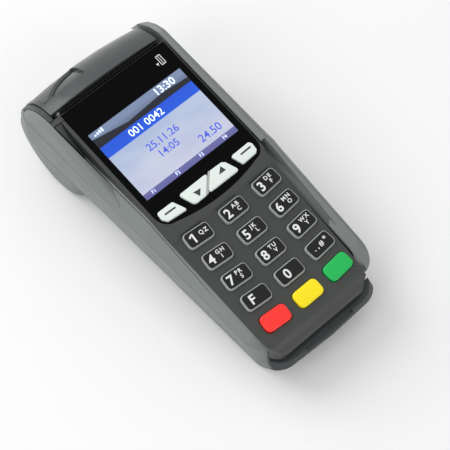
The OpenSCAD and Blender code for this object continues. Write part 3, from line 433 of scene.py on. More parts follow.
@dataclass(frozen=True)
class CircuitLaminate(Finish):
    """Green circuit board: lacquer over copper areas and tracks."""

    def lay(self, sheet: ShaderSheet) -> None:
        """Two greens, where copper lies under the lacquer and where it doesn't.

        Args:
            sheet: the nodes of the finish's material.
        """
        tracks = sheet.span(sheet.noise(2.2, 1, (0.25, 1.0), 1), 0, 1, 0.5, 0.52)
        pours = sheet.span(sheet.cells(9), 0, 1, 0.3, 0.32)
        copper = sheet.times(tracks, pours)
        sheet.put({"Base Color": sheet.mix(copper, self.shade.linear(0.8), self.shade.linear(1.8)),
                   "Roughness": 0.35})
        sheet.bump(copper, 0.03)


@dataclass(frozen=True)
class ThermalPaper(Finish):
    """Coated paper, with the edges of its wound layers on the roll's ends."""

    def lay(self, sheet: ShaderSheet) -> None:
        """Fibres across the web and faint rings of the winding.

        Args:
            sheet: the nodes of the finish's material.
        """
        fibre = sheet.noise(0.7, 3, (0.3, 1.0), 1)
        layers = sheet.span(sheet.noise(0.25, 1, (0.02, 1.0), 0), 0, 0.6)
        sheet.put({"Base Color": sheet.mix(layers, self.shade.linear(), self.shade.linear(0.88)),
                   "Roughness": sheet.span(fibre, 0.5, 0.72)})
        sheet.bump(fibre, 0.01)


@dataclass(frozen=True)
class LitPixels(Finish):
    """Part of a lit display under glass, shaded from its colour to the far one along Y, with its pixels."""

    far: Shade
    start: float
    stop: float
    glow: float = 0.85
    clouds: float = 0.0

    def lay(self, sheet: ShaderSheet) -> None:
        """Light of its own, weaker between the pixels, behind a smooth surface.

        Args:
            sheet: the nodes of the finish's material.
        """
        fade = sheet.height("Y", self.start, self.stop)
        colour = sheet.mix(fade, self.shade.linear(), self.far.linear())
        if self.clouds > 0:
            cloud = sheet.span(sheet.noise(15, 3, (0.45, 1.0), 0), 0, self.clouds, 0.4, 0.7)
            colour = sheet.mix(cloud, colour, Shade(250, 252, 255).linear())
        pixels = sheet.span(sheet.noise(0.22, 0), 0, 0.1)
        sheet.put({"Base Color": (0.01, 0.01, 0.012, 1),
                   "Emission Color": sheet.mix(pixels, colour, self.shade.linear(0.6)),
                   "Emission Strength": self.glow, "Roughness": 0.12, "Specular IOR Level": 0.25})


@dataclass(frozen=True)
class PrintedInk(Finish):
    """A printed mark, slightly raised and uneven."""

    glow: float = 0.0

    def lay(self, sheet: ShaderSheet) -> None:
        """Flat ink with thin places.

        Args:
            sheet: the nodes of the finish's material.
        """
        thin = sheet.span(sheet.noise(0.4, 2), 0, 0.3, 0.55, 0.7)
        colour = sheet.mix(thin, self.shade.linear(), self.shade.linear(0.75))
        sheet.put({"Base Color": colour, "Roughness": 0.45})
        if self.glow > 0:
            sheet.put({"Emission Color": colour, "Emission Strength": self.glow})


# The shell's right outer strip is painted darker (0.62), as painted shade where the rail turns away from the
# light
SHELL_GREY = MouldedPlastic("shell_grey_plastic", Shade(116, 122, 119), 0.5, 0.4, 0.035, 0.04, 0.3, 0.5, 0.62)
# Painted shade: the shell's plastic coloured darker for the deep trough beside the rail, where shade falls
TROUGH_PAINTED_SHADE = MouldedPlastic("trough_grey_plastic", Shade(88, 93, 91), 0.5, 0.4, 0.03, 0.04, 0.2)
TOP_DARK = MouldedPlastic("top_dark_plastic", Shade(50, 53, 51), 0.42, 0.4, 0.03, 0.05, 0.3)
COVER_GREY = MouldedPlastic("cover_grey_plastic", Shade(64, 67, 68), 0.22, 0.35, 0.012, 0.04, 0.35)
CATCH_GREY = MouldedPlastic("catch_grey_plastic", Shade(66, 69, 70), 0.3, 0.35, 0.02, 0.04, 0.4)
BEZEL_DARK = MouldedPlastic("bezel_dark_plastic", Shade(48, 52, 53), 0.5, 0.4, 0.03, 0.05, 0.3)
WINDOW_BLACK = PolishedPlastic("window_black_glass", Shade(1, 1, 2), 0.07, 0.0, 0.06)
LCD_GLASS = PolishedPlastic("display_glass", Shade(40, 46, 52), 0.1)
LCD_STEEL = DrawnMetal("display_frame_steel", Shade(190, 192, 196), 0.35)
KEY_RIM = MouldedPlastic("key_rim_plastic", Shade(158, 162, 160), 0.42, 0.3, 0.01, 0.04, 0.3)
KEY_FACE = MouldedPlastic("key_face_black", Shade(17, 18, 19), 0.36, 0.3, 0.012, 0.05, 0.25, 0.25)
KEY_PALE = MouldedPlastic("key_pale_plastic", Shade(226, 236, 231), 0.32, 0.3, 0.01, 0.02)
KEY_RED = MouldedPlastic("key_red_plastic", Shade(255, 44, 36), 0.36, 0.3, 0.01, 0.03)
KEY_YELLOW = MouldedPlastic("key_yellow_plastic", Shade(255, 230, 0), 0.36, 0.3, 0.01, 0.03)
KEY_GREEN = MouldedPlastic("key_green_plastic", Shade(0, 180, 80), 0.36, 0.3, 0.01, 0.03)
SILICONE = SoftRubber("keypad_silicone", Shade(150, 152, 150), 0.7)
BOARD = CircuitLaminate("board_laminate", Shade(24, 92, 58))
CHIP_BLACK = MouldedPlastic("chip_black_epoxy", Shade(34, 34, 36), 0.6, 0.2, 0.02)
CELL_STEEL = DrawnMetal("cell_steel", Shade(200, 200, 202), 0.25, 1)
READER_BLACK = MouldedPlastic("reader_black_plastic", Shade(38, 39, 41), 0.55)
GOLD = DrawnMetal("contact_gold", Shade(230, 190, 96), 0.25, 1)
STEEL = DrawnMetal("bright_steel", Shade(196, 198, 202), 0.25)
BLACKENED = DrawnMetal("blackened_steel", Shade(40, 41, 44), 0.45)
HEAD_STEEL = DrawnMetal("head_steel", Shade(150, 152, 158), 0.3)
GEAR_WHITE = MouldedPlastic("gear_white_acetal", Shade(228, 226, 216), 0.4, 0.3, 0.01)
GEAR_BRASS = DrawnMetal("gear_brass", Shade(214, 178, 92), 0.3)
PLATEN_RUBBER = SoftRubber("platen_rubber", Shade(42, 42, 44), 0.65)
TRAY_GREY = MouldedPlastic("tray_grey_plastic", Shade(56, 60, 61), 0.55)
PAPER = ThermalPaper("thermal_paper", Shade(244, 244, 240))
CORE_BOARD = ThermalPaper("core_board", Shade(196, 176, 146))
FEET_RUBBER = SoftRubber("feet_rubber", Shade(44, 44, 46), 0.85)
SCREW_STEEL = DrawnMetal("screw_steel", Shade(120, 122, 126), 0.35, 2)
MOTOR_STEEL = DrawnMetal("motor_steel", Shade(176, 178, 182), 0.3)
PRINTER_PLATE = DrawnMetal("printer_plate_steel", Shade(184, 187, 190), 0.4, 1)
INK_WHITE = PrintedInk("legend_white", Shade(236, 238, 238))
INK_DARK = PrintedInk("legend_dark", Shade(46, 50, 52))
NAV_SPLIT = MouldedPlastic("key_split_plastic", Shade(176, 180, 176), 0.4, 0.3, 0.01)
ICON_WHITE = PrintedInk("icon_white", Shade(225, 228, 230))
SCREEN_SKY = LitPixels("screen_sky", Shade(196, 200, 226), Shade(176, 194, 226), 5.0, 33.0, 0.95, 0.25)
SCREEN_BAND = LitPixels("screen_band", Shade(24, 92, 232), Shade(20, 84, 222), 32, 40, 0.95)
SCREEN_BAR = LitPixels("screen_bar", Shade(104, 104, 172), Shade(120, 120, 184), 5, 9, 0.85)
SCREEN_HEAD = LitPixels("screen_head", Shade(62, 76, 104), Shade(136, 154, 190), 38, 45, 0.85)
SCREEN_DARK = LitPixels("screen_dark", Shade(18, 22, 32), Shade(30, 38, 54), 38, 47, 0.8)
SCREEN_INK = PrintedInk("screen_ink", Shade(66, 84, 196), 0.45)
SCREEN_LIGHT = PrintedInk("screen_light", Shade(206, 222, 250), 0.75)

# Mesh tools


@contextmanager
def editing(mesh: bpy.types.Mesh) -> Iterator[bmesh.types.BMesh]:
    """Opens a mesh for changes and writes it back at the end.

    Args:
        mesh: the mesh.

    Yields:
        The form that is changed.
    """
    form = bmesh.new()
    form.from_mesh(mesh)
    yield form
    form.to_mesh(mesh)
    form.free()


def turn_of(slope: Slope | None) -> Matrix:
    """Returns the slope's transform, or none at all where the slope is left out."""
    return slope.matrix() if slope else Matrix.Identity(4)


def rectangle(x0: float, x1: float, y0: float, y1: float) -> list[Point2]:
    """Returns a rectangle's corners, anticlockwise."""
    return [(x0, y0), (x1, y0), (x1, y1), (x0, y1)]


class Workshop:
    """Tools that make and join meshes. All of them work in millimetres."""

    @staticmethod
    def show(name: str, data: bpy.types.ID) -> Thing:
        """Makes an object from a mesh, a curve, a lamp or a camera and links it to the scene.

        Args:
            name: the object's name.
            data: what it shows.

        Returns:
            The object.
        """
        thing = bpy.data.objects.new(name, data)
        bpy.context.scene.collection.objects.link(thing)
        return thing

    @staticmethod
    def solid(name: str, points: list[Vector], faces: list[list[int]]) -> Thing:
        """Makes an object from points and faces.

        Args:
            name: the object's name.
            points: its corners.
            faces: the corners of each face.

        Returns:
            The new object, its faces turned outwards.
        """
        mesh = bpy.data.meshes.new(name)
        mesh.from_pydata([tuple(p) for p in points], [], faces)
        with editing(mesh) as form:
            bmesh.ops.recalc_face_normals(form, faces=form.faces)
        return Workshop.show(name, mesh)

    @staticmethod
    def hull(name: str, points: list[Vector]) -> Thing:
        """Makes the convex hull of points.

        Args:
            name: the object's name.
            points: the points, in any order.

        Returns:
            The hull as an object.
        """
        mesh = bpy.data.meshes.new(name)
        with editing(mesh) as form:
            for spot in points:
                form.verts.new(spot)
            made = bmesh.ops.convex_hull(form, input=form.verts, use_existing_faces=False)
            loose = [v for v in made["geom_interior"] + made["geom_unused"]
                     if isinstance(v, bmesh.types.BMVert)]
            bmesh.ops.delete(form, geom=list(set(loose)), context="VERTS")
            bmesh.ops.recalc_face_normals(form, faces=form.faces)
        return Workshop.show(name, mesh)

    @staticmethod
    def extrude(name: str, outline: list[Vector], way: Vector) -> Thing:
        """Makes a prism.

        Args:
            name: the object's name.
            outline: a flat outline.
            way: how far and which way it is drawn out.

        Returns:
            The prism.
        """
        count = len(outline)
        points = list(outline) + [p + way for p in outline]
        faces = [list(range(count))[::-1], list(range(count, 2 * count))]
        faces += [[i, (i + 1) % count, (i + 1) % count + count, i + count] for i in range(count)]
        return Workshop.solid(name, points, faces)

    @staticmethod
    def side_prism(name: str, outline: list[Point2], x0: float, x1: float) -> Thing:
        """Makes a prism from a profile in Y and Z, from x0 to x1."""
        return Workshop.extrude(name, [Vector((x0, y, z)) for y, z in outline], Vector((x1 - x0, 0, 0)))

    @staticmethod
    def plan_prism(name: str, outline: list[Point2], z0: float, z1: float,
                   slope: Slope | None = None) -> Thing:
        """Makes a prism from a plan in X and Y.

        Args:
            name: the object's name.
            outline: the plan.
            z0: its lower end.
            z1: its upper end.
            slope: the sloped surface that it stands on, if any.

        Returns:
            The prism.
        """
        turn = turn_of(slope)
        base = [turn @ Vector((x, y, z0)) for x, y in outline]
        return Workshop.extrude(name, base, turn.to_3x3() @ Vector((0, 0, z1 - z0)))

    @staticmethod
    def block(x0: float, x1: float, y0: float, y1: float, z0: float, z1: float) -> Thing:
        """Makes a rectangular cutter."""
        return Workshop.plan_prism("block", rectangle(x0, x1, y0, y1), z0, z1)

    @staticmethod
    def rod(x0: float, x1: float, y: float, z: float, radius: float, steps: int = 64) -> Thing:
        """Makes a rod along X."""
        return Workshop.side_prism("rod", Outline.circle(y, z, radius, steps), x0, x1)

    @staticmethod
    def pillar(x: float, y: float, z0: float, z1: float, radius: float) -> Thing:
        """Makes a rod along Z."""
        return Workshop.plan_prism("pillar", Outline.circle(x, y, radius), z0, z1)

    @staticmethod
    def modify(target: Thing, name: str, kind: str, **settings: object) -> None:
        """Adds a modifier.

        Args:
            target: the object.
            name: the modifier's name.
            kind: the modifier's type.
            settings: its properties.
        """
        step = target.modifiers.new(name, kind)
        for key, setting in settings.items():
            setattr(step, key, setting)

    @staticmethod
    def combine(target: Thing, tools: list[Thing], operation: str) -> None:
        """Joins tools to target, or cuts them from it, and removes them.

        Args:
            target: the object that stays.
            tools: the objects that are used up.
            operation: UNION, DIFFERENCE or INTERSECT.
        """
        for tool in tools:
            Workshop.modify(target, "join", "BOOLEAN", operation=operation, solver="MANIFOLD", object=tool)
        Workshop.settle(target)
        for tool in tools:
            Workshop.discard(tool)

    @staticmethod
    def evaluated(thing: Thing) -> bpy.types.Mesh:
        """Makes the mesh that an object's modifiers or its curve give.

        Args:
            thing: the object.

        Returns:
            A new mesh.
        """
        bpy.context.view_layer.update()
        graph = bpy.context.evaluated_depsgraph_get()
        return bpy.data.meshes.new_from_object(thing.evaluated_get(graph), depsgraph=graph)

    @staticmethod
    def settle(target: Thing) -> None:
        """Applies the object's modifiers to its mesh.

        Args:
            target: the object.
        """
        mesh = Workshop.evaluated(target)
        old = target.data
        target.modifiers.clear()
        target.data = mesh
        bpy.data.meshes.remove(old)

    @staticmethod
    def discard(thing: Thing) -> None:
        """Removes an object and its mesh.

        Args:
            thing: the object.
        """
        mesh = thing.data
        bpy.data.objects.remove(thing)
        bpy.data.meshes.remove(mesh)

    @staticmethod
    def soften(target: Thing, voxel: float, rounds: int) -> None:
        """Fuses a mesh on a fine grid and rounds its edges, as a mould's fillets would.

        Args:
            target: the object, which may overlap itself.
            voxel: the size of the grid.
            rounds: how often the grid is smoothed.
        """
        Workshop.modify(target, "fuse", "REMESH", mode="VOXEL", voxel_size=voxel)
        Workshop.modify(target, "smooth", "SMOOTH", factor=0.5, iterations=rounds)
        Workshop.settle(target)

    @staticmethod
    def gather(target: Thing, others: list[Thing]) -> None:
        """Adds the others' faces to the target's mesh as they are, and removes them.

        Args:
            target: the object that stays.
            others: the objects that are used up.
        """
        with editing(target.data) as form:
            for other in others:
                form.from_mesh(other.data)
        for other in others:
            Workshop.discard(other)

    @staticmethod
    def copy_of(node: Thing, name: str) -> Thing:
        """Makes a closed copy of a CAD node's mesh, in millimetres; the node itself isn't touched.

        Args:
            node: the CAD node.
            name: the copy's name.

        Returns:
            The copy.
        """
        mesh = node.data.copy()
        mesh.name = name
        mesh.transform(Matrix.Scale(1 / MM, 4))
        with editing(mesh) as form:
            bmesh.ops.remove_doubles(form, verts=form.verts, dist=0.002)
        return Workshop.show(name, mesh)

    @staticmethod
    def mark(target: Thing, finish: int) -> None:
        """Gives all faces of a mesh the number of one finish."""
        target.data.polygons.foreach_set("material_index", [finish] * len(target.data.polygons))

    @staticmethod
    def shading(target: Thing, angle: float) -> None:
        """Shades the mesh smooth, with edges sharper than angle degrees kept crisp."""
        target.data.shade_smooth()
        target.data.set_sharp_from_angle(angle=math.radians(angle))

    @staticmethod
    def finish(target: Thing, body: str, coats: list[Finish], nodes: tuple[str, ...] = (),
               slot: str = "", angle: float = 35.0) -> Thing:
        """Scales a piece to metres, shades and dresses it, and hands it to the frame.

        Args:
            target: the piece, in millimetres.
            body: the CAD body that carries it.
            coats: its finishes, in the order of its faces' material numbers.
            nodes: the CAD nodes that it stands for.
            slot: the record's material slot; not used.
            angle: edges sharper than this stay crisp.

        Returns:
            The same object.
        """
        target.data.transform(Matrix.Scale(MM, 4))
        Workshop.shading(target, angle)
        marks = [face.material_index for face in target.data.polygons]
        target.data.materials.clear()
        for coat in coats:
            target.data.materials.append(coat.material())
        target.data.polygons.foreach_set("material_index", marks)
        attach(target, body)
        if nodes:
            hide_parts(*nodes)
        LOG.info("piece %s on %s: %d faces", target.name, body, len(target.data.polygons))
        return target


class Outline:
    """Flat outlines as lists of points."""

    @staticmethod
    def circle(cx: float, cy: float, radius: float, steps: int = 48) -> list[Point2]:
        """Returns a circle's points."""
        return Outline.arc(cx, cy, radius, 0, 360 * (steps - 1) / steps, steps - 1)

    @staticmethod
    def arc(cx: float, cy: float, radius: float, a0: float, a1: float, steps: int) -> list[Point2]:
        """Returns the points of an arc from a0 to a1 degrees."""
        turns = [math.radians(a0 + (a1 - a0) * i / steps) for i in range(steps + 1)]
        return [(cx + radius * math.cos(a), cy + radius * math.sin(a)) for a in turns]

    @staticmethod
    def inset(corners: list[Point2], depth: float) -> list[Point2]:
        """Draws the sides of a convex outline in by depth.

        Args:
            corners: the outline, anticlockwise.
            depth: how far each side moves inwards; below zero it moves out.

        Returns:
            The new corners, as many as before.
        """
        moved = []
        for i, here in enumerate(corners):
            before = Vector(corners[i - 1])
            after = Vector(corners[(i + 1) % len(corners)])
            spot = Vector(here)
            one = (spot - before).normalized()
            two = (after - spot).normalized()
            normal_one = Vector((-one.y, one.x))
            normal_two = Vector((-two.y, two.x))
            share = depth / max(0.2, 1 + normal_one.dot(normal_two))
            moved.append(tuple(spot + (normal_one + normal_two) * share))
        return moved

    @staticmethod
    def rounded(corners: list[Point2], radius: float, steps: int = 5) -> list[Point2]:
        """Rounds the corners of an outline.

        Args:
            corners: the outline, anticlockwise.
            radius: the radius where the sides are long enough for it.
            steps: the number of parts in each arc.

        Returns:
            The points of the rounded outline.
        """
        points: list[Point2] = []
        count = len(corners)
        for i, here in enumerate(corners):
            spot = Vector(here)
            back = Vector(corners[i - 1]) - spot
            ahead = Vector(corners[(i + 1) % count]) - spot
            angle = back.angle(ahead)
            reach = radius / max(0.05, math.tan(angle / 2))
            reach = min(reach, back.length * 0.46, ahead.length * 0.46)
            start = spot + back.normalized() * reach
            stop = spot + ahead.normalized() * reach
            for k in range(steps + 1):
                t = k / steps
                bow = (1 - t) ** 2 * start + 2 * t * (1 - t) * spot + t * t * stop
                points.append((bow.x, bow.y))
        return points

    @staticmethod
    def anticlockwise(corners: list[Point2]) -> list[Point2]:
        """Returns the outline turned anticlockwise."""
        area = sum(a[0] * b[1] - b[0] * a[1] for a, b in zip(corners, corners[1:] + corners[:1]))
        return corners if area > 0 else corners[::-1]


@dataclass(frozen=True)
class CapLayer:
    """One ring of a key cap: how far it is drawn in, its height, and the finish above it."""

    inset: float
    height: float
    finish: int = 0


def ring_stack(name: str, corners: list[Point2], radius: float, layers: list[CapLayer],
               place: Matrix) -> Thing:
    """Builds a closed cap from rings that follow one outline.

    Args:
        name: the object's name.
        corners: the outline's corners, anticlockwise.
        radius: the radius of the outline's corners.
        layers: the rings, from the bottom up.
        place: where the cap stands.

    Returns:
        The cap; its faces carry the number of their layer's finish.
    """
    points: list[Vector] = []
    faces: list[list[int]] = []
    marks: list[int] = []
    for layer in layers:
        ring = Outline.rounded(Outline.inset(corners, layer.inset), max(0.25, radius - layer.inset))
        points += [place @ Vector((x, y, layer.height)) for x, y in ring]
    count = len(points) // len(layers)
    faces.append(list(range(count))[::-1])
    marks.append(layers[0].finish)
    for i, layer in enumerate(layers[:-1]):
        for k in range(count):
            low, high = i * count, (i + 1) * count
            faces.append([low + k, low + (k + 1) % count, high + (k + 1) % count, high + k])
            marks.append(layer.finish)
    faces.append([(len(layers) - 1) * count + k for k in range(count)])
    marks.append(layers[-1].finish)
    cap = Workshop.solid(name, points, faces)
    cap.data.polygons.foreach_set("material_index", marks)
    return cap


def lettering(text: str, size: float, weight: float, place: Matrix, finish: int,
              spread: float = 0.0) -> Thing:
    """Makes flat raised lettering from Blender's own typeface.

    Args:
        text: generic characters, such as digits.
        size: the height of a capital.
        weight: how much the strokes are thickened.
        place: where the middle of the text's left edge lies.
        finish: the material number that its faces carry.
        spread: extra room between characters, as a share of their own.

    Returns:
        The lettering as a mesh object, 0.02 mm thick.
    """
    curve = bpy.data.curves.new("text", "FONT")
    curve.body = text
    curve.size = size / CAPITAL_SHARE
    curve.offset = weight
    curve.space_character = 1.0 + spread
    curve.extrude = 0.01
    curve.resolution_u = 3
    curve.align_y = "CENTER"
    writer = Workshop.show("text", curve)
    mesh = Workshop.evaluated(writer)
    bpy.data.objects.remove(writer)
    bpy.data.curves.remove(curve)
    mesh.transform(place)
    mesh.materials.clear()
    thing = Workshop.show("lettering", mesh)
    Workshop.mark(thing, finish)
    return thing


def loft(name: str, points: list[Vector], count: int) -> Thing:
    """Joins equal rings of points into one closed solid.

    Args:
        name: the object's name.
        points: the rings' points, ring after ring.
        count: the number of points in a ring.

    Returns:
        The solid, with a flat face at each end.
    """
    rings = len(points) // count
    faces = [list(range(count)), [(rings - 1) * count + k for k in range(count)][::-1]]
    for i in range(rings - 1):
        for k in range(count):
            low, high, after = i * count, (i + 1) * count, (k + 1) % count
            faces.append([low + k, high + k, high + after, low + after])
    return Workshop.solid(name, points, faces)


def patch(name: str, outline: list[Point2], height: float, slope: Slope, finish: int = 0,
          depth: float = 0.02) -> Thing:
    """Makes a thin flat mark on a sloped surface.

    Args:
        name: the object's name.
        outline: its plan on the surface.
        height: the height of its top.
        slope: the surface.
        finish: the material number that its faces carry.
        depth: how thick it is.

    Returns:
        The mark.
    """
    thing = Workshop.plan_prism(name, outline, height - depth, height, slope)
    Workshop.mark(thing, finish)
    return thing


# The outer casings


@dataclass
class CasingForm:
    """The hulls that the casings are cut from: the CAD's, with the rail carried round the front corner."""

    tail_radius: float = 26.0
    nose_corner: float = 13.0
    shoulder_slope: float = 0.78
    seam_depth: float = -1.58

    @staticmethod
    def disc(x: float, y: float, radius: float, z: float, slope: Slope | None = None) -> list[Vector]:
        """Draws a thin disc.

        Args:
            x: its centre's X.
            y: its centre's Y.
            radius: its radius.
            z: its lower face.
            slope: the sloped surface whose coordinates these are, if any.

        Returns:
            The points of both faces.
        """
        turn = turn_of(slope)
        ring = Outline.circle(x, y, radius, HULL_STEPS)
        return [turn @ Vector((px, py, pz)) for px, py in ring for pz in (z, z + DISC_HEIGHT)]

    @classmethod
    def discs(cls, side: int, rows: tuple) -> list[Vector]:
        """Returns the points of discs on one side, from rows of what disc() takes."""
        return [spot for x, *rest in rows for spot in cls.disc(side * x, *rest)]

    @staticmethod
    def ball(x: float, y: float, z: float, radius: float, slope: Slope | None = None) -> list[Vector]:
        """Draws a ball.

        Args:
            x: its centre's X.
            y: its centre's Y.
            z: its centre's Z.
            radius: its radius.
            slope: the sloped surface whose coordinates these are, if any.

        Returns:
            The points of its rings, without the poles.
        """
        turn = turn_of(slope)
        points = []
        for i in range(1, BALL_RINGS):
            lat = math.pi * (i / BALL_RINGS - 0.5)
            for k in range(BALL_STEPS):
                lon = math.tau * k / BALL_STEPS
                points.append(turn @ Vector((x + radius * math.cos(lat) * math.cos(lon),
                                             y + radius * math.cos(lat) * math.sin(lon),
                                             z + radius * math.sin(lat))))
        return points

    @staticmethod
    def box(corner: Point3, size: Point3, slope: Slope) -> list[Vector]:
        """Draws a box on a sloped surface.

        Args:
            corner: its first corner.
            size: its size along X, Y and Z.
            slope: the surface whose coordinates these are.

        Returns:
            The corners as points of the body.
        """
        turn = slope.matrix()
        return [turn @ Vector((corner[0] + i * size[0], corner[1] + j * size[1], corner[2] + k * size[2]))
                for i in (0, 1) for j in (0, 1) for k in (0, 1)]

    def tail(self, half: float, depth: float) -> list[Vector]:
        """Draws the round lower rear end.

        Args:
            half: half its width.
            depth: how far it is drawn in.

        Returns:
            The points of both its sides.
        """
        cy, cz = Y_REAR - self.tail_radius, BASE_Z + self.tail_radius
        profile = [(cy, cz)] + Outline.arc(cy, cz, self.tail_radius - depth, -90, 0, 16)
        return [Vector((x, y, z)) for y, z in profile for x in (-half, half)]

    def lower(self, depth: float, lift: float = 0.0, grow: float = 0.0) -> Thing:
        """Makes the body below the seam.

        Args:
            depth: how far the form is drawn in.
            lift: how far its open top is raised.
            grow: how far the left shoulder runs on past the seam.

        Returns:
            The form as an object.
        """
        points: list[Vector] = []
        key, row_y = Slope.KEYPAD, Slope.KEYPAD.value[0]
        for side in (-1, 1):
            more = grow if side < 0 else 0.0
            up = lift + more * self.shoulder_slope
            seam = SEAM_HALF - more
            points += self.discs(side, (
                (BASE_HALF - 11, Y_FRONT + 18, 9 - depth, BASE_Z + depth),
                (BASE_HALF - 11.5, Y_FRONT + 17.5, 10.4 - depth, BASE_Z + 2 + depth),
                (BASE_HALF - 10, Y_REAR - 26, 9 - depth, BASE_Z + depth),
                (BASE_HALF - 10, Y_REAR - 26, 10.2 - depth, BASE_Z + 2 + depth),
                (HALF_W - 3.9 - self.nose_corner, NOSE_S + 9.5, self.nose_corner - depth, -6.0, key),
                (HALF_W - 3, row_y + 16, 3 - depth, CREASE_Z - 0.4),
                (HALF_W - 11, Y_REAR - 11, 11 - depth, CREASE_Z - 0.4),
                (HALF_W - 11, Y_REAR - 11, 10.9 - depth, HUMP_Z - 10),
                (seam - 11.4, NOSE_S + 8.5, 9 - depth, -2.0 + up, key),
                (seam - 3, 1.0, 3 - depth, SEAM_Z - 0.4 + up),
                (seam - 9, Y_REAR - 13, 9 - depth, SEAM_Z - 0.4 + up)))
        points += self.tail(HALF_W - 12, depth + 0.1)
        return Workshop.hull("lower_form", points)

    def hips(self) -> Thing:
        """Makes the wider rear end that stands on the table, with a finger scoop in each side."""
        points: list[Vector] = []
        for side in (-1, 1):
            points += self.discs(side, (
                (HIP_HALF - 12, Y_REAR - 34, 9, BASE_Z), (HIP_HALF - 11, Y_REAR - 34, 10, BASE_Z + 2),
                (HIP_HALF - 11, Y_REAR - 34, 11, HUMP_Z - 14),
                (HALF_W - 11.3, Y_REAR - 11.3, 11.2, HUMP_Z - 8),
                (HALF_W - 1.2, Y_REAR - 48, 1, CREASE_Z - 1),
                (HALF_W - 11.3, Y_REAR - 11.3, 11.1, CREASE_Z - 1)))
        points += self.tail(HIP_HALF - 1, 0.1)
        form = Workshop.hull("hips", points)
        front, rear, top, floor = 26.5, 66.5, CREASE_Z - 1.2, BASE_Z + 18.4
        scoop = [(front, top), (rear, top)] + Outline.arc(rear - 1, CREASE_Z - 14.2, 13, 78, -30, 16)
        scoop += [(rear, BASE_Z + 19.6), (rear - 8, floor), (front, floor)]
        scoop.reverse()
        tools = [Workshop.side_prism("scoop", scoop, x0, x1)
                 for x0, x1 in ((BASE_HALF, HALF_W + 2), (-HALF_W - 2, -BASE_HALF))]
        Workshop.combine(form, tools, "DIFFERENCE")
        return form

    def rail(self) -> list[Thing]:
        """Makes the raised rail beside the swipe slot and the keypad, in two parts."""
        key, display, row_y = Slope.KEYPAD, Slope.DISPLAY, Slope.KEYPAD.value[0]
        ridge_x, joint, side = HALF_W - 4.6, SLOT_END - 6, KEYPAD_RIGHT - 1
        rear: list[Vector] = []
        for along in (joint, 36.8):
            rear += self.ball(ridge_x, along, -1.2, 1.4, display)
            rear += self.box((RAIL_IN, along, -6), (2, 1, 6), display)
        rear += self.discs(1, ((HALF_W - 3.2, row_y + 18, 3.1, CREASE_Z - 0.7),
                               (HALF_W - 3.2, HUMP_Y + 8, 3.1, CREASE_Z - 0.7),
                               (HALF_W - 11.5, Y_REAR - 11.5, 11.3, CREASE_Z - 0.7)))
        for turn in (78, 62, 46, 30):
            reach = Vector((math.cos(math.radians(turn)), math.sin(math.radians(turn)))) * 22.6
            rear += self.ball(HALF_W - 5.6, HUMP_Y + reach.x, HUMP_Z + reach.y, 2.2)
        front = self.ball(ridge_x, joint, -1.2, 1.4, display)
        front += self.box((side, joint, -6), (3, 1, 5), display)
        front += self.ball(HALF_W - 4.3, NOSE_S + 12, -2.6, 1.6, key)
        front += self.box((side, NOSE_S + 6, -4), (3, 1, 3), key)
        front += self.discs(1, ((HALF_W - 10.8, NOSE_S + 9, 9.6, -5.8, key),
                                (HALF_W - 12.4, NOSE_S + 6.0, 9.4, -3.6, key),
                                (HALF_W - 12.8, NOSE_S + 6.2, 9.6, -10.5, key),
                                (HALF_W - 13.6, NOSE_S + 6.0, 9.4, -17.5, key),
                                (HALF_W - 3.2, row_y + 17, 3.1, CREASE_Z - 0.8)))
        parts = [Workshop.hull("rail_rear", rear), Workshop.hull("rail_front", front)]
        for part, x0, y0, y1 in zip(parts, (RAIL_IN - 0.7, KEYPAD_RIGHT + GAP), (-40, -94), (94, 20)):
            Workshop.combine(part, [Workshop.block(x0, PAST_SIDE, y0, y1, 5, 63)], "INTERSECT")
        return parts

    @staticmethod
    def hump_corner() -> Thing:
        """Makes the cutter that trims what stands out past the cover's round end."""
        cutter = Workshop.block(-PAST_SIDE - 1, PAST_SIDE + 1, HUMP_Y, Y_REAR + 2, HUMP_Z, PAST_TOP)
        rod = Workshop.rod(-PAST_SIDE - 3, PAST_SIDE + 3, HUMP_Y, HUMP_Z, COVER_R - 1.4, 96)
        Workshop.combine(cutter, [rod], "DIFFERENCE")
        return cutter

    def seam_line(self, drop: float) -> list[Point2]:
        """Returns the seam's profile in Y and Z, lowered by drop, from the rear to the front."""
        nose = [Slope.KEYPAD.point(NOSE_S - ahead, self.seam_depth) for ahead in (0.5, 2)]
        return [(y, z - drop) for y, z in [(PAST_REAR, SEAM_Z + 0.02), (-2.0, SEAM_Z + 0.02)] + nose]


@dataclass
class ArmFairing:
    """The dark run-out in front of the arm beside the paper cover, down onto the left shoulder."""

    left: float = -38.55
    right: float = -34.3
    rear: float = 61.05
    front: float = 44.0
    foot: float = 44.3
    toe_top: float = 48.4
    toe_foot: float = 47.3
    toe_width: float = 0.7

    def build(self) -> None:
        """Makes the run-out as a hull from the arm's face to a low front edge."""
        left, right, top = self.left, self.right, Slope.DISPLAY.point(36.0, 0.72)[1]
        face = ((left + 1.2, top), (right, top), (left, top - 1.6), (left, self.foot), (right, self.foot),
                (left + 0.4, top - 0.5))
        toe = ((right - self.toe_width, self.toe_top - 0.05), (right, self.toe_top),
               (right - self.toe_width, self.toe_foot), (right, self.toe_foot))
        points = [Vector((x, self.rear, z)) for x, z in face] + [Vector((x, self.front, z)) for x, z in toe]
        run = Workshop.hull("arm_run_out", points)
        Workshop.modify(run, "ease", "BEVEL", width=0.6, segments=3)
        Workshop.settle(run)
        Workshop.finish(run, "base", [TOP_DARK], (), "top_dark", 50)


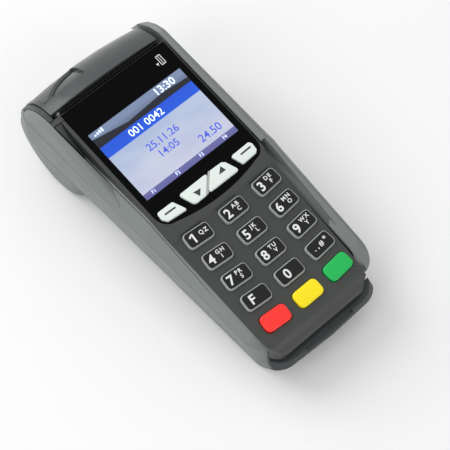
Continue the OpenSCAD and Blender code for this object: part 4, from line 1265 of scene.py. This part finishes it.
@dataclass
class LightShell:
    """The light casing: shoulders, side walls, rear hips and the rail, as one smooth moulding."""

    frame: dict
    form: CasingForm = field(default_factory=CasingForm)
    voxel: float = 0.6
    rounds: int = 8
    wall: float = 2.0
    lip_rise: float = 1.15
    shoulder_run: float = 2.4
    slot_reach: float = 78.0
    trough_rise: float = 9.5
    trough_run: float = 62.0
    groove_drop: float = 1.35
    liner_steps: int = 28
    liner_rear: float = -4.6
    liner_front: float = -71.0
    liner_deep: float = 4.2
    liner_shallow: float = 0.5
    feet: tuple[Point2, ...] = ((-24.5, -77.5), (24.5, -77.5), (-30, 62.5), (30, 62.5))
    foot_r: float = 4.52
    screws: tuple[Point2, ...] = ((-10.58, -29.68), (10.58, -29.68))
    screw_r: float = 2.1

    def outside(self) -> Thing:
        """Fuses the hulls and rounds their edges."""
        shell = self.form.lower(0, 0, self.shoulder_run)
        hips = self.form.hips()
        rails = self.form.rail()
        for part in (shell, hips, rails[0]):
            Workshop.combine(part, [self.form.hump_corner()], "DIFFERENCE")
        Workshop.gather(shell, [hips] + rails)
        Workshop.soften(shell, self.voxel, self.rounds)
        return shell

    def swipe_tools(self) -> list[Thing]:
        """Makes the cutters of the swipe slot and of the trough that carries it past the keypad."""
        slot = Workshop.plan_prism("slot", rectangle(SWIPE_IN - 6, RAIL_IN, SLOT_END - 8, self.slot_reach),
                                   SLOT_FLOOR, 20, Slope.DISPLAY)
        rise = math.atan2(self.trough_rise, self.trough_run)
        turn = (Slope.DISPLAY.matrix() @ Matrix.Translation((0, SLOT_END, SLOT_FLOOR))
                @ Matrix.Rotation(math.pi / 2 - rise, 4, "X"))
        outline = [(KEYPAD_RIGHT - 6, 18), (KEYPAD_RIGHT + 0.01, 0.6), (SWIPE_IN, 0), (RAIL_IN, 0),
                   (HALF_W - 5.2, 11.3), (HALF_W - 4.6, 18)]
        base = [turn @ Vector((x, y, 0)) for x, y in outline]
        trough = Workshop.extrude("trough", base, turn.to_3x3() @ Vector((0, 0, self.slot_reach)))
        return [slot, trough]

    def seam_tool(self) -> Thing:
        """Makes the cutter that takes off everything above the seam, left of the rail."""
        line = self.form.seam_line(0)
        ahead = line[-1][0] - 2
        profile = [(ahead, PAST_TOP + 1), (ahead, 1)] + line[::-1] + [(PAST_REAR, PAST_TOP + 1)]
        return Workshop.side_prism("above_seam", profile, -PAST_SIDE, KEYPAD_RIGHT + GAP)

    def groove_tool(self) -> Thing:
        """Makes the cutter of the thin shadow groove that runs beside the seam on the left."""
        turn_y = Slope.KEYPAD.point(NOSE_S + 8.5, -1.6)[0]
        path = [(-SEAM_HALF, 60.0), (-SEAM_HALF, -3.0)]
        path += Outline.arc(-(SEAM_HALF - 11.4) - 2.2, turn_y, 9.0 - 0.4, 180, 262, 14)
        (rear_y, rear_z), (front_y, front_z) = self.form.seam_line(self.groove_drop)[1:3]
        points: list[Vector] = []
        for i, (x, y) in enumerate(path):
            way = (Vector(path[min(len(path) - 1, i + 1)]) - Vector(path[max(0, i - 1)])).normalized()
            share = (y - front_y) / (rear_y - front_y)
            z = front_z + min(1.0, max(0.0, share)) * (rear_z - front_z)
            for reach in (0.75, 1.15):
                points += [Vector((x + way.y * reach, y - way.x * reach, z + up)) for up in (0, 9)]
        faces = [[0, 1, 3, 2]]
        for a in range(0, len(points) - 4, 4):
            b = a + 4
            faces += [[a, a + 1, b + 1, b], [a + 2, b + 2, b + 3, a + 3], [a, b, b + 2, a + 2],
                      [a + 1, a + 3, b + 3, b + 1]]
        last = len(points) - 4
        faces.append([last, last + 2, last + 3, last + 1])
        return Workshop.solid("groove", points, faces)

    @staticmethod
    def knuckles() -> list[Thing]:
        """Makes the two fixed knuckles of the cover's hinge."""
        parts = []
        for x0, x1 in ((-37.3, -30.0), (24.3, 31.6)):
            block = Workshop.block(x0, x1, HINGE_Y - KNUCKLE_R, HINGE_Y + 1.2, HINGE_Z - 8, HINGE_Z)
            Workshop.combine(block, [Workshop.rod(x0, x1, HINGE_Y, HINGE_Z, KNUCKLE_R, 48)], "UNION")
            parts.append(block)
        return parts

    @staticmethod
    def cheek() -> Thing:
        """Makes the light cheek that covers the outer side of the left arm and runs out forwards."""
        toe_y = 14.0
        points = [Vector((x, y, z))
                  for x, radius in ((-38.72, 22.9), (-39.6, 22.3), (-40.5, 20.8), (-40.9, 18.6))
                  for y, z in Outline.circle(HUMP_Y, HUMP_Z, radius, 72) if z > 34]
        points.append(Vector((-35.3, toe_y + 8, 46.9)))
        points += [Vector((x, toe_y, z)) for x, z in ((-38.72, 44.8), (-39.8, 43.6), (-40.6, 42.4),
                                                      (-40.9, 40.0), (-38.72, 38.0))]
        return Workshop.hull("cheek", points)

    def liner(self, shell: Thing) -> Thing:
        """Makes the smooth floor that joins the keypad's right edge to the rail's ridge.

        Args:
            shell: the finished casing, whose ridge height is measured.

        Returns:
            A closed strip that runs from the end of the swipe slot to the nose.
        """
        tree = BVHTree.FromObject(shell, bpy.context.evaluated_depsgraph_get())
        key, display = Slope.KEYPAD, Slope.DISPLAY
        points: list[Vector] = []
        for i in range(self.liner_steps + 1):
            share = i / self.liner_steps
            y = self.liner_rear + share * (self.liner_front - self.liner_rear)
            along = (y - key.value[0]) / math.cos(math.radians(key.value[2]))
            level = min(key.point(along, 0)[1], display.point(y - display.value[0], 0)[1])
            hit = tree.ray_cast(Vector((RIDGE_X, y, PAST_TOP + 6)), Vector((0, 0, -1)))[0]
            ridge = hit.z if hit is not None else level - 2
            depth = self.liner_deep * (1 - share) ** 1.3 + self.liner_shallow
            low = min(level, ridge) - depth
            climb = ridge - low
            edge = level - 0.35
            profile = ((KEYPAD_RIGHT - 0.15, edge), (KEYPAD_RIGHT + 0.25, edge - 0.2 * depth),
                       (KEYPAD_RIGHT + 0.8, low + 0.35 * depth), (SWIPE_IN - 0.4, low + 0.05 * depth),
                       (RAIL_IN - 0.3, low), (RAIL_IN + 0.9, low + 0.3 * climb),
                       (RIDGE_X - 0.7, low + 0.82 * climb), (RIDGE_X, ridge - 0.05), (RIDGE_X, ridge - 1.6),
                       (RAIL_IN, low - 1.2), (KEYPAD_RIGHT - 0.15, low - 1.2))
            points += [Vector((x, y, z)) for x, z in profile]
        return loft("trough_liner", points, len(profile))

    def openings(self) -> list[Thing]:
        """Makes the cutters of the cover's well, the cable's way, the card mouth, the feet and the screws."""
        tools = [Workshop.block(*sides) for sides in (
            (COVER_LEFT - GAP, COVER_RIGHT + GAP, HUMP_Y - 3, Y_REAR + 2, HINGE_Z - 3.8, PAST_TOP),
            (24, PAST_SIDE, 7.6, 14.4, BELOW, 6.8), (-14, 26, -4, 24, BELOW, 4),
            (1 - BASE_HALF, BASE_HALF - 1, Y_FRONT - 2, Y_FRONT + 9.5, 2.8, 50))]
        tools += [Workshop.pillar(x, y, BELOW, 1.6 + BASE_Z, self.foot_r) for x, y in self.feet]
        return tools + [Workshop.pillar(x, y, BELOW, 5, self.screw_r) for x, y in self.screws]

    def build(self) -> None:
        """Makes the shell and the inner parts of the lower casing, and dresses both."""
        shell = self.outside()
        cavity = self.form.lower(self.wall, self.lip_rise)
        tools = [cavity, self.seam_tool(), self.groove_tool()] + self.swipe_tools() + self.openings()
        Workshop.combine(shell, tools, "DIFFERENCE")
        Workshop.combine(shell, [self.cheek()], "UNION")
        Workshop.combine(shell, self.knuckles(), "UNION")
        Workshop.combine(shell, [Workshop.rod(-60, 60, HINGE_Y, HINGE_Z, HINGE_PIN_R)], "DIFFERENCE")
        shell.name = "light_shell"
        # The trough liner is coloured with painted shade, darker than the shell plastic it continues
        Workshop.finish(self.liner(shell), "base", [TROUGH_PAINTED_SHADE], (), "shell_grey", 60)
        stands_for = ("bottom_case", "rear_hips", "side_rail")
        Workshop.finish(shell, "base", [SHELL_GREY], stands_for, "shell_grey", 40)
        inner = Workshop.copy_of(self.frame["nodes"]["bottom_case"], "case_insides")
        Workshop.combine(inner, [self.form.lower(1.2, 0.4)], "INTERSECT")
        Workshop.finish(inner, "base", [SHELL_GREY], ("bottom_case",), "shell_grey", 35)


# Keys


class KeyKind(Enum):
    """The kinds of keys on the keypad, each with the record's material slot and its cap's finish."""

    NUMBER = ("key_grey", KEY_RIM)
    CANCEL = ("key_red", KEY_RED)
    CLEAR = ("key_yellow", KEY_YELLOW)
    ENTER = ("key_green", KEY_GREEN)

    def __init__(self, slot: str, coat: Finish) -> None:
        """Names the two parts of the value."""
        self.slot = slot
        self.coat = coat


@dataclass(frozen=True)
class KeyPlace:
    """A key's name, its row and column, and what is printed on it."""

    name: str
    row: int
    column: int
    digit: str = ""
    letters: tuple[str, ...] = ()
    kind: KeyKind = KeyKind.NUMBER
    signs: str = ""


KEYS = [
    KeyPlace("key_1", 0, -1, "1", ("QZ",)), KeyPlace("key_2", 0, 0, "2", ("AB", "C")),
    KeyPlace("key_3", 0, 1, "3", ("DE", "F")), KeyPlace("key_4", 1, -1, "4", ("GH", "I")),
    KeyPlace("key_5", 1, 0, "5", ("JK", "L")), KeyPlace("key_6", 1, 1, "6", ("MN", "O")),
    KeyPlace("key_7", 2, -1, "7", ("PR", "S")), KeyPlace("key_8", 2, 0, "8", ("TU", "V")),
    KeyPlace("key_9", 2, 1, "9", ("WX", "Y")), KeyPlace("key_f", 3, -1, "F"),
    KeyPlace("key_0", 3, 0, "0"), KeyPlace("key_dot", 3, 1, signs=".,#*"),
    KeyPlace("key_cancel", 4, -1, kind=KeyKind.CANCEL), KeyPlace("key_clear", 4, 0, kind=KeyKind.CLEAR),
    KeyPlace("key_enter", 4, 1, kind=KeyKind.ENTER)]


@dataclass
class Keypad:
    """Fifteen keys, each its own piece on its own body.

    A cap's faces carry three finishes: its rim, the inlaid face and the legend.
    """

    width: float = 14.7
    length: float = 8.8
    corner: float = 2.5
    colour_corner: float = 3.0
    row_pitch: float = 13.17
    column_pitch: float = 21.55
    column_shrink: float = 0.41
    outer_back: float = 0.7
    fan: float = 4.5
    flange: float = 0.5
    print_height: float = 1.98
    digit_size: float = 4.7
    digit_left: float = -5.4
    letter_weight: float = 0.06

    def place(self, key: KeyPlace) -> Matrix:
        """Finds where a key stands on the keypad.

        Args:
            key: the key.

        Returns:
            The transform of the key's own coordinates.
        """
        x = key.column * (self.column_pitch - key.row * self.column_shrink)
        y = -key.row * self.row_pitch + (self.outer_back if key.column else 0)
        return (Slope.KEYPAD.matrix() @ Matrix.Translation((x, y, 0))
                @ Matrix.Rotation(math.radians(key.column * self.fan), 4, "Z"))

    def layers(self, kind: KeyKind) -> list[CapLayer]:
        """Lists the rings of a key, with an inlaid face on a number key.

        Args:
            kind: the kind of key.

        Returns:
            The rings, from the bottom up.
        """
        rows = [(-self.flange, -3.1), (-self.flange, -2.3), (0, -2.3)]
        if kind is KeyKind.NUMBER:
            rows += [(0, 0.5), (0.1, 1.05), (0.3, 1.55), (0.46, 1.72), (0.62, 1.76)]
            rows += [(0.7, 1.66, 1), (0.73, 1.66, 1), (0.78, 1.82, 1), (0.92, 1.9, 1), (1.25, 1.94, 1),
                     (1.9, 1.96, 1)]
        else:
            rows += [(0, 1.0), (0.1, 1.25), (0.32, 1.45), (0.7, 1.57), (1.4, 1.64), (2.6, 1.67)]
        return [CapLayer(*row) for row in rows]

    def legend(self, key: KeyPlace, place: Matrix) -> list[Thing]:
        """Makes the digit and the small characters printed on a key's face.

        Args:
            key: the key.
            place: where its cap stands.

        Returns:
            The characters as objects.
        """
        size, weight = self.digit_size, self.letter_weight
        rows = []
        if key.digit == "1":
            rows.append(("-", size, 0.1, -5.15, 1.15, 0.0, 38))
        if key.digit:
            left = {"1": -4.4, "F": -4.0, "0": -3.3}.get(key.digit, self.digit_left)
            rows.append((key.digit, size, 0.14, left, -0.3))
        if len(key.letters) == 1:
            rows.append((key.letters[0], 2.1, weight, 0.5, 0.5, 0.3))
        elif key.letters:
            spots = ((-0.3, 1.5), (1.3, -1.2))
            rows += [(text, 2.05, weight, x, y, 0.3) for text, (x, y) in zip(key.letters, spots)]
        spots = ((-4.3, 0.2), (-2.3, 0.2), (-0.4, 0.1), (3.0, 0.6))
        rows += [(sign, 2.7, weight, x, y) for sign, (x, y) in zip(key.signs, spots)]
        return [self.character(place, *row) for row in rows]

    def character(self, place: Matrix, text: str, size: float, weight: float, x: float, y: float,
                  spread: float = 0.0, turn: float = 0.0) -> Thing:
        """Prints characters on a key's face.

        Args:
            place: where the key's cap stands.
            text: the characters.
            size: the height of a capital.
            weight: how much the strokes are thickened.
            x: where their left edge lies.
            y: where their middle lies.
            spread: extra room between them.
            turn: degrees by which they are turned.

        Returns:
            The characters as an object.
        """
        spot = Matrix.Translation((x, y, self.print_height)) @ Matrix.Rotation(math.radians(turn), 4, "Z")
        return lettering(text, size, weight, place @ spot, 2, spread)

    def build(self) -> None:
        """Makes every key and hands it to its own body."""
        half_w, half_l = self.width / 2, self.length / 2
        for key in KEYS:
            place = self.place(key)
            corner = self.corner if key.kind is KeyKind.NUMBER else self.colour_corner
            cap = ring_stack(key.name + "_cap", rectangle(-half_w, half_w, -half_l, half_l), corner,
                             self.layers(key.kind), place)
            Workshop.gather(cap, self.legend(key, place))
            Workshop.finish(cap, key.name, [key.kind.coat, KEY_FACE, INK_WHITE], (key.name,),
                            key.kind.slot, 50)


@dataclass(frozen=True)
class NavPlace:
    """A navigation key: its name, its outline on the display surface and its dark mark."""

    name: str
    outline: tuple[Point2, ...]
    mark: tuple[Point2, ...]


NAV_KEYS = [
    NavPlace("nav_left",
             ((-29.9, -29.5), (-30.2, -33.6), (-28.4, -36), (-17.8, -37), (-17.6, -36), (-20.4, -29.6)),
             ((-27.5, -33.0), (-21.1, -33.2), (-21.1, -32.3), (-27.5, -32.1))),
    NavPlace("nav_down",
             ((-15.2, -29), (2.6, -28.8), (-5.6, -37.4), (-12, -37.5), (-13.4, -36.4), (-15.6, -30.2)),
             ((-9.9, -32.4), (-8.4, -35.9), (-5.6, -32.9))),
    NavPlace("nav_up",
             ((3.7, -28.8), (11, -29), (12.6, -30.2), (15, -36.4), (14.4, -37.4), (-4.5, -37.4)),
             ((5.8, -33.4), (10.1, -33.5), (9.1, -30.3))),
    NavPlace("nav_right",
             ((16.4, -29.6), (28.2, -29.3), (29.2, -31), (28.8, -34.8), (27.2, -36), (18.6, -36.4)),
             ((20.7, -32.5), (27.3, -32.3), (27.3, -31.4), (20.7, -31.6)))]


@dataclass
class NavigationKeys:
    """Four pale keys in front of the display."""

    top: float = 1.9
    depth: float = 4.2
    corner: float = 1.3
    web_rise: float = 0.02
    web_depth: float = 3.9
    divider: tuple[Point2, ...] = ((2.6, -28.85), (3.7, -28.85), (-4.5, -37.4), (-5.6, -37.4))
    sill: tuple[float, ...] = (-9.5, 1.5, -40.2, -37.8)
    sill_top: float = 0.81
    sill_depth: float = 0.5

    def build(self) -> None:
        """Makes each key with its mark, the web between the middle two and the sill in front of it."""
        web = patch("nav_web", Outline.anticlockwise(list(self.divider)), self.top + self.web_rise,
                    Slope.DISPLAY, 0, self.web_depth)
        Workshop.finish(web, "base", [NAV_SPLIT], (), "key_pale", 30)
        sill = patch("nav_sill", rectangle(*self.sill), self.sill_top, Slope.DISPLAY, 0, self.sill_depth)
        Workshop.finish(sill, "base", [WINDOW_BLACK], (), "window_black", 30)
        rows = ((0, self.depth), (0, 0.6), (0.06, 0.35), (0.2, 0.14), (0.45, 0.04), (0.75, 0))
        layers = [CapLayer(inset, self.top - drop) for inset, drop in rows]
        for key in NAV_KEYS:
            cap = ring_stack(key.name + "_cap", Outline.anticlockwise(list(key.outline)), self.corner,
                             layers, Slope.DISPLAY.matrix())
            mark = patch("mark", Outline.anticlockwise(list(key.mark)), self.top + 0.01, Slope.DISPLAY, 1)
            Workshop.gather(cap, [mark])
            Workshop.finish(cap, key.name, [KEY_PALE, INK_DARK], (key.name,), "key_pale", 50)


class Tone(IntEnum):
    """The finishes of the display's image, by the material number of a face."""

    SKY = 0
    BAND = 1
    BAR = 2
    HEAD = 3
    INK = 4
    LIGHT = 5
    DARK = 6
    ICON = 7


@dataclass
class DisplayImage:
    """What the lit display shows: a pale ground, a header, a blue band, plain numbers and a foot bar."""

    half_w: float = 28.8
    front: float = -21.6
    rear: float = 21.6
    band_front: float = 6.3
    band_rear: float = 12.9
    height: float = WINDOW_LEVEL
    layer_step: float = 0.012
    depth: float = 0.01

    def shape(self, outline: list[Point2], layer: int, tone: Tone) -> Thing:
        """Makes a flat shape of the image, on the given layer above the window."""
        level = self.height + self.layer_step * layer
        return patch("shape", outline, level, Slope.DISPLAY, tone, self.depth)

    def words(self, text: str, size: float, x: float, y: float, layer: int, tone: Tone,
              weight: float) -> Thing:
        """Makes numbers in the image, as lettering() does, on the given layer."""
        level = self.height + self.layer_step * layer
        return lettering(text, size, weight, Slope.DISPLAY.matrix() @ Matrix.Translation((x, y, level)), tone)

    def swipe_icon(self) -> list[Thing]:
        """Makes the plain mark that shows which way a card is swiped: a card's outline and an arrowhead."""
        parts = [self.shape(rectangle(*sides), 1, Tone.ICON)
                 for sides in ((23.4, 26.2, 33.3, 33.7), (23.4, 26.2, 28.0, 28.4), (23.4, 23.8, 28.0, 33.7),
                               (25.8, 26.2, 28.0, 33.7), (24.6, 24.9, 28.4, 33.3))]
        arrow = [(21.3, 30.2), (22.0, 28.6), (22.7, 30.2)]
        level = self.height + self.depth
        return parts + [patch("icon", arrow, level, Slope.DISPLAY, Tone.ICON, self.depth)]

    def build(self) -> None:
        """Makes the image as one piece that lies on the window."""
        half = self.half_w
        hills = [(-half, self.band_rear), (half, self.band_rear), (half, 15.4), (14, 16.8), (-9, 15.2),
                 (-half, 18.4)]
        ground = self.shape(rectangle(-half, half, self.front, self.rear), 0, Tone.SKY)
        ground.name = "lit_image"
        parts = [self.shape(rectangle(-half, half, self.band_rear, self.rear), 1, Tone.HEAD),
                 self.shape(hills, 2, Tone.DARK),
                 self.shape(rectangle(-half, half, self.band_front, self.band_rear), 2, Tone.BAND),
                 self.shape(rectangle(-half, half, self.front, self.front + 3.2), 1, Tone.BAR)]
        rows = [("001 0042", 3.9, -13.2, 9.5, 4, Tone.LIGHT, 0.05),
                ("25.11.26", 3.9, -11.5, -1.6, 3, Tone.INK, 0.06),
                ("14:05", 3.9, -9.3, -7.5, 3, Tone.INK, 0.06),
                ("24.50", 4.2, 11.0, -13.8, 3, Tone.INK, 0.06),
                ("13:30", 4.0, 10.2, 18.6, 4, Tone.LIGHT, 0.1)]
        rows += [("F%d" % (i + 1), 1.8, x, self.front + 1.6, 3, Tone.LIGHT, 0.02)
                 for i, x in enumerate((-24.5, -9.6, 5.4, 20.2))]
        parts += [self.words(*row) for row in rows]
        for k in range(4):
            x = -26.5 + 1.5 * k
            parts.append(self.shape(rectangle(x, x + 1.0, 19.0, 19.8 + 0.45 * k), 4, Tone.LIGHT))
        Workshop.gather(ground, parts + self.swipe_icon())
        Workshop.finish(ground, "base", [SCREEN_SKY, SCREEN_BAND, SCREEN_BAR, SCREEN_HEAD, SCREEN_INK,
                                         SCREEN_LIGHT, SCREEN_DARK, ICON_WHITE], (), "lcd_glass", 30)


# CAD nodes whose own shape shows


@dataclass(frozen=True)
class NodeDress:
    """How a CAD node is dressed: its finish, its edges' radius, and the angle from which they are eased."""

    finish: Finish
    edge: float = 0.15
    angle: float = 32.0


DRESSES = {
    "bottom_case": NodeDress(SHELL_GREY, 0.3), "top_case": NodeDress(TOP_DARK, 0.35),
    "card_bezel": NodeDress(BEZEL_DARK, 0.5), "display_window": NodeDress(WINDOW_BLACK, 0.2),
    "lcd_panel": NodeDress(LCD_GLASS), "lcd_frame": NodeDress(LCD_STEEL, 0.1),
    "keypad_mat": NodeDress(SILICONE, 0.2), "keypad_board": NodeDress(BOARD, 0.05),
    "main_board": NodeDress(BOARD, 0.05), "board_parts": NodeDress(CHIP_BLACK, 0.12),
    "coin_cell": NodeDress(CELL_STEEL, 0.3), "reader_base": NodeDress(READER_BLACK, 0.2),
    "reader_cover": NodeDress(READER_BLACK, 0.2), "chip_contacts": NodeDress(GOLD, 0.05),
    "mag_head": NodeDress(HEAD_STEEL, 0.3), "mag_spring": NodeDress(STEEL, 0.05),
    "paper_cover": NodeDress(COVER_GREY, 0.4), "cover_catch": NodeDress(CATCH_GREY, 0.25),
    "cover_pin": NodeDress(STEEL, 0.1), "catch_pin": NodeDress(STEEL, 0.1),
    "platen_roller": NodeDress(PLATEN_RUBBER, 0.2), "platen_shaft": NodeDress(STEEL, 0.15),
    "platen_gear": NodeDress(GEAR_WHITE, 0.06), "idler_gear": NodeDress(GEAR_WHITE, 0.06),
    "drive_gear": NodeDress(GEAR_WHITE, 0.06), "motor": NodeDress(MOTOR_STEEL, 0.3),
    "motor_pinion": NodeDress(GEAR_BRASS, 0.05), "print_head": NodeDress(CHIP_BLACK, 0.1),
    "printer_frame": NodeDress(PRINTER_PLATE, 0.1), "gear_axles": NodeDress(STEEL, 0.1),
    "tear_bar": NodeDress(BLACKENED, 0.03), "paper_tray": NodeDress(TRAY_GREY, 0.2),
    "paper_roll": NodeDress(PAPER, 0.1), "roll_core": NodeDress(CORE_BOARD, 0.1),
    "cable_socket": NodeDress(CHIP_BLACK, 0.2), "cable_door": NodeDress(BEZEL_DARK, 0.3),
    "rubber_feet": NodeDress(FEET_RUBBER, 0.3), "case_screws": NodeDress(SCREW_STEEL, 0.15),
    "board_screws": NodeDress(SCREW_STEEL, 0.1)}


@dataclass
class CarriedNodes:
    """The CAD nodes whose own shape shows, with eased edges and their finishes."""

    frame: dict
    smooth_angle: float = 35.0
    weld: float = 0.004
    flat_angle: float = 0.4

    def smoother(self) -> bpy.types.NodeTree:
        """Returns the node group that shades a mesh smooth between its sharp edges."""
        found = bpy.data.node_groups.get("soft_edges")
        if found:
            return found
        group = bpy.data.node_groups.new("soft_edges", "GeometryNodeTree")
        for way in ("INPUT", "OUTPUT"):
            group.interface.new_socket("Geometry", in_out=way, socket_type="NodeSocketGeometry")
        sheet = NodeSheet(group)
        start = sheet.add("NodeGroupInput")
        faces = sheet.add("GeometryNodeSetShadeSmooth", {"Geometry": start.outputs[0]})
        angle = sheet.add("GeometryNodeInputMeshEdgeAngle").outputs["Unsigned Angle"]
        test = sheet.add("FunctionNodeCompare", {"A": angle, "B": math.radians(self.smooth_angle)},
                         operation="GREATER_THAN")
        inputs = {"Geometry": faces.outputs[0], "Selection": test.outputs[0], "Shade Smooth": False}
        edges = sheet.add("GeometryNodeSetShadeSmooth", inputs, domain="EDGE")
        sheet.add("NodeGroupOutput", {0: edges.outputs[0]})
        return group

    def ease(self, node: Thing, dress: NodeDress) -> None:
        """Adds the modifiers that weld, ease and shade a CAD node.

        Args:
            node: the node.
            dress: how it is dressed.
        """
        modify = Workshop.modify
        modify(node, "weld", "WELD", merge_threshold=self.weld * MM)
        modify(node, "flats", "DECIMATE", decimate_type="DISSOLVE", angle_limit=math.radians(self.flat_angle))
        modify(node, "ease", "BEVEL", width=dress.edge * MM, segments=2, limit_method="ANGLE",
               angle_limit=math.radians(dress.angle))
        modify(node, "smooth", "NODES", node_group=self.smoother())
        modify(node, "weight", "WEIGHTED_NORMAL", keep_sharp=True)

    def build(self) -> None:
        """Dresses every node that is still shown."""
        for name, node in self.frame["nodes"].items():
            if node.hide_render:
                continue
            dress = DRESSES[name]
            if not node.material_slots:
                node.data.materials.append(None)
            for slot in node.material_slots:
                slot.material = dress.finish.material()
            self.ease(node, dress)
            LOG.info("node %s in %s", name, dress.finish.name)


# The studio


@dataclass(frozen=True)
class Lamp:
    """A square lamp that faces the object, with its place and size in metres and its power in watts."""

    name: str
    place: Point3
    size: float
    power: float

    def hang(self, target: Vector) -> None:
        """Hangs the lamp so that it faces the target.

        Args:
            target: the point that it faces, in metres.
        """
        data = bpy.data.lights.new(self.name, "AREA")
        data.shape = "SQUARE"
        data.size = self.size
        data.energy = self.power
        lamp = Workshop.show(self.name, data)
        lamp.location = self.place
        lamp.rotation_euler = (target - Vector(self.place)).to_track_quat("-Z", "Y").to_euler()


@dataclass
class Studio:
    """Floor, lamps, surroundings and the camera of the photograph."""

    camera_place: Point3 = (-248.0, -295.1, 700.9)
    camera_aim: Point3 = (-6.899, -24.917, 40.0)
    camera_roll: float = -0.341
    lens: float = 128.0
    sensor: float = 36.0
    ambient: float = 0.62
    floor_size: float = 6.0
    lamps: tuple[Lamp, ...] = (Lamp("rear_lamp", (-0.35, 1.25, 1.05), 1.2, 15.0),
                               Lamp("left_lamp", (-1.5, -0.2, 1.3), 1.0, 6.0),
                               Lamp("front_lamp", (0.2, -1.6, 0.9), 1.0, 4.0))

    def camera(self) -> None:
        """Places the camera at the photograph's viewpoint, turned to its aim and rolled a little."""
        data = bpy.data.cameras.new("photo_camera")
        data.lens = self.lens
        data.sensor_width = self.sensor
        data.clip_start = 0.01
        data.clip_end = 20
        eye = Workshop.show("photo_camera", data)
        place = Vector(self.camera_place)
        turn = (Vector(self.camera_aim) - place).to_track_quat("-Z", "Y").to_matrix().to_4x4()
        roll = Matrix.Rotation(math.radians(self.camera_roll), 4, "Z")
        eye.matrix_world = Matrix.Translation(place * MM) @ turn @ roll
        bpy.context.scene.camera = eye

    def floor(self) -> None:
        """Lays a plain pale floor that keeps the object's shadow."""
        half = self.floor_size / 2 / MM
        corners = [Vector((x, y, 0)) for x, y in rectangle(-half, half, -half, half)]
        ground = Workshop.solid("floor", corners, [[0, 1, 2, 3]])
        ground.data.transform(Matrix.Scale(MM, 4))
        sheet = ShaderSheet("pale_floor")
        sheet.put({"Base Color": (0.93, 0.93, 0.93, 1), "Roughness": 0.9, "Specular IOR Level": 0.1})
        ground.data.materials.append(sheet.material)

    def surroundings(self) -> None:
        """Gives the world an even light, and white where the camera or a reflection sees it."""
        world = bpy.data.worlds.new("studio")
        bpy.context.scene.world = world
        world.use_nodes = True
        sheet = NodeSheet(world.node_tree)
        soft, white = [sheet.add("ShaderNodeBackground", {"Color": (1, 1, 1, 1), "Strength": strength})
                       for strength in (self.ambient, 1.0)]
        path = sheet.add("ShaderNodeLightPath")
        seen = path.outputs["Is Camera Ray"]
        for name in ("Is Glossy Ray", "Is Transmission Ray"):
            most = sheet.add("ShaderNodeMath", {0: seen, 1: path.outputs[name]}, operation="MAXIMUM")
            seen = most.outputs[0]
        mix = sheet.add("ShaderNodeMixShader", {0: seen, 1: soft.outputs[0], 2: white.outputs[0]})
        sheet.add("ShaderNodeOutputWorld", {"Surface": mix.outputs[0]})

    def build(self) -> None:
        """Sets up the whole studio."""
        self.camera()
        self.floor()
        self.surroundings()
        for lamp in self.lamps:
            lamp.hang(Vector((0, 0, 0.03)))
        bpy.context.scene.view_settings.view_transform = "Standard"


def main() -> None:
    """Builds the terminal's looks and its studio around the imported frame."""
    logging.basicConfig(level=logging.INFO, format="%(message)s")
    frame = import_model()
    Studio().build()
    LightShell(frame=frame).build()
    ArmFairing().build()
    Keypad().build()
    NavigationKeys().build()
    DisplayImage().build()
    CarriedNodes(frame).build()


if __name__ == "__main__":
    main()
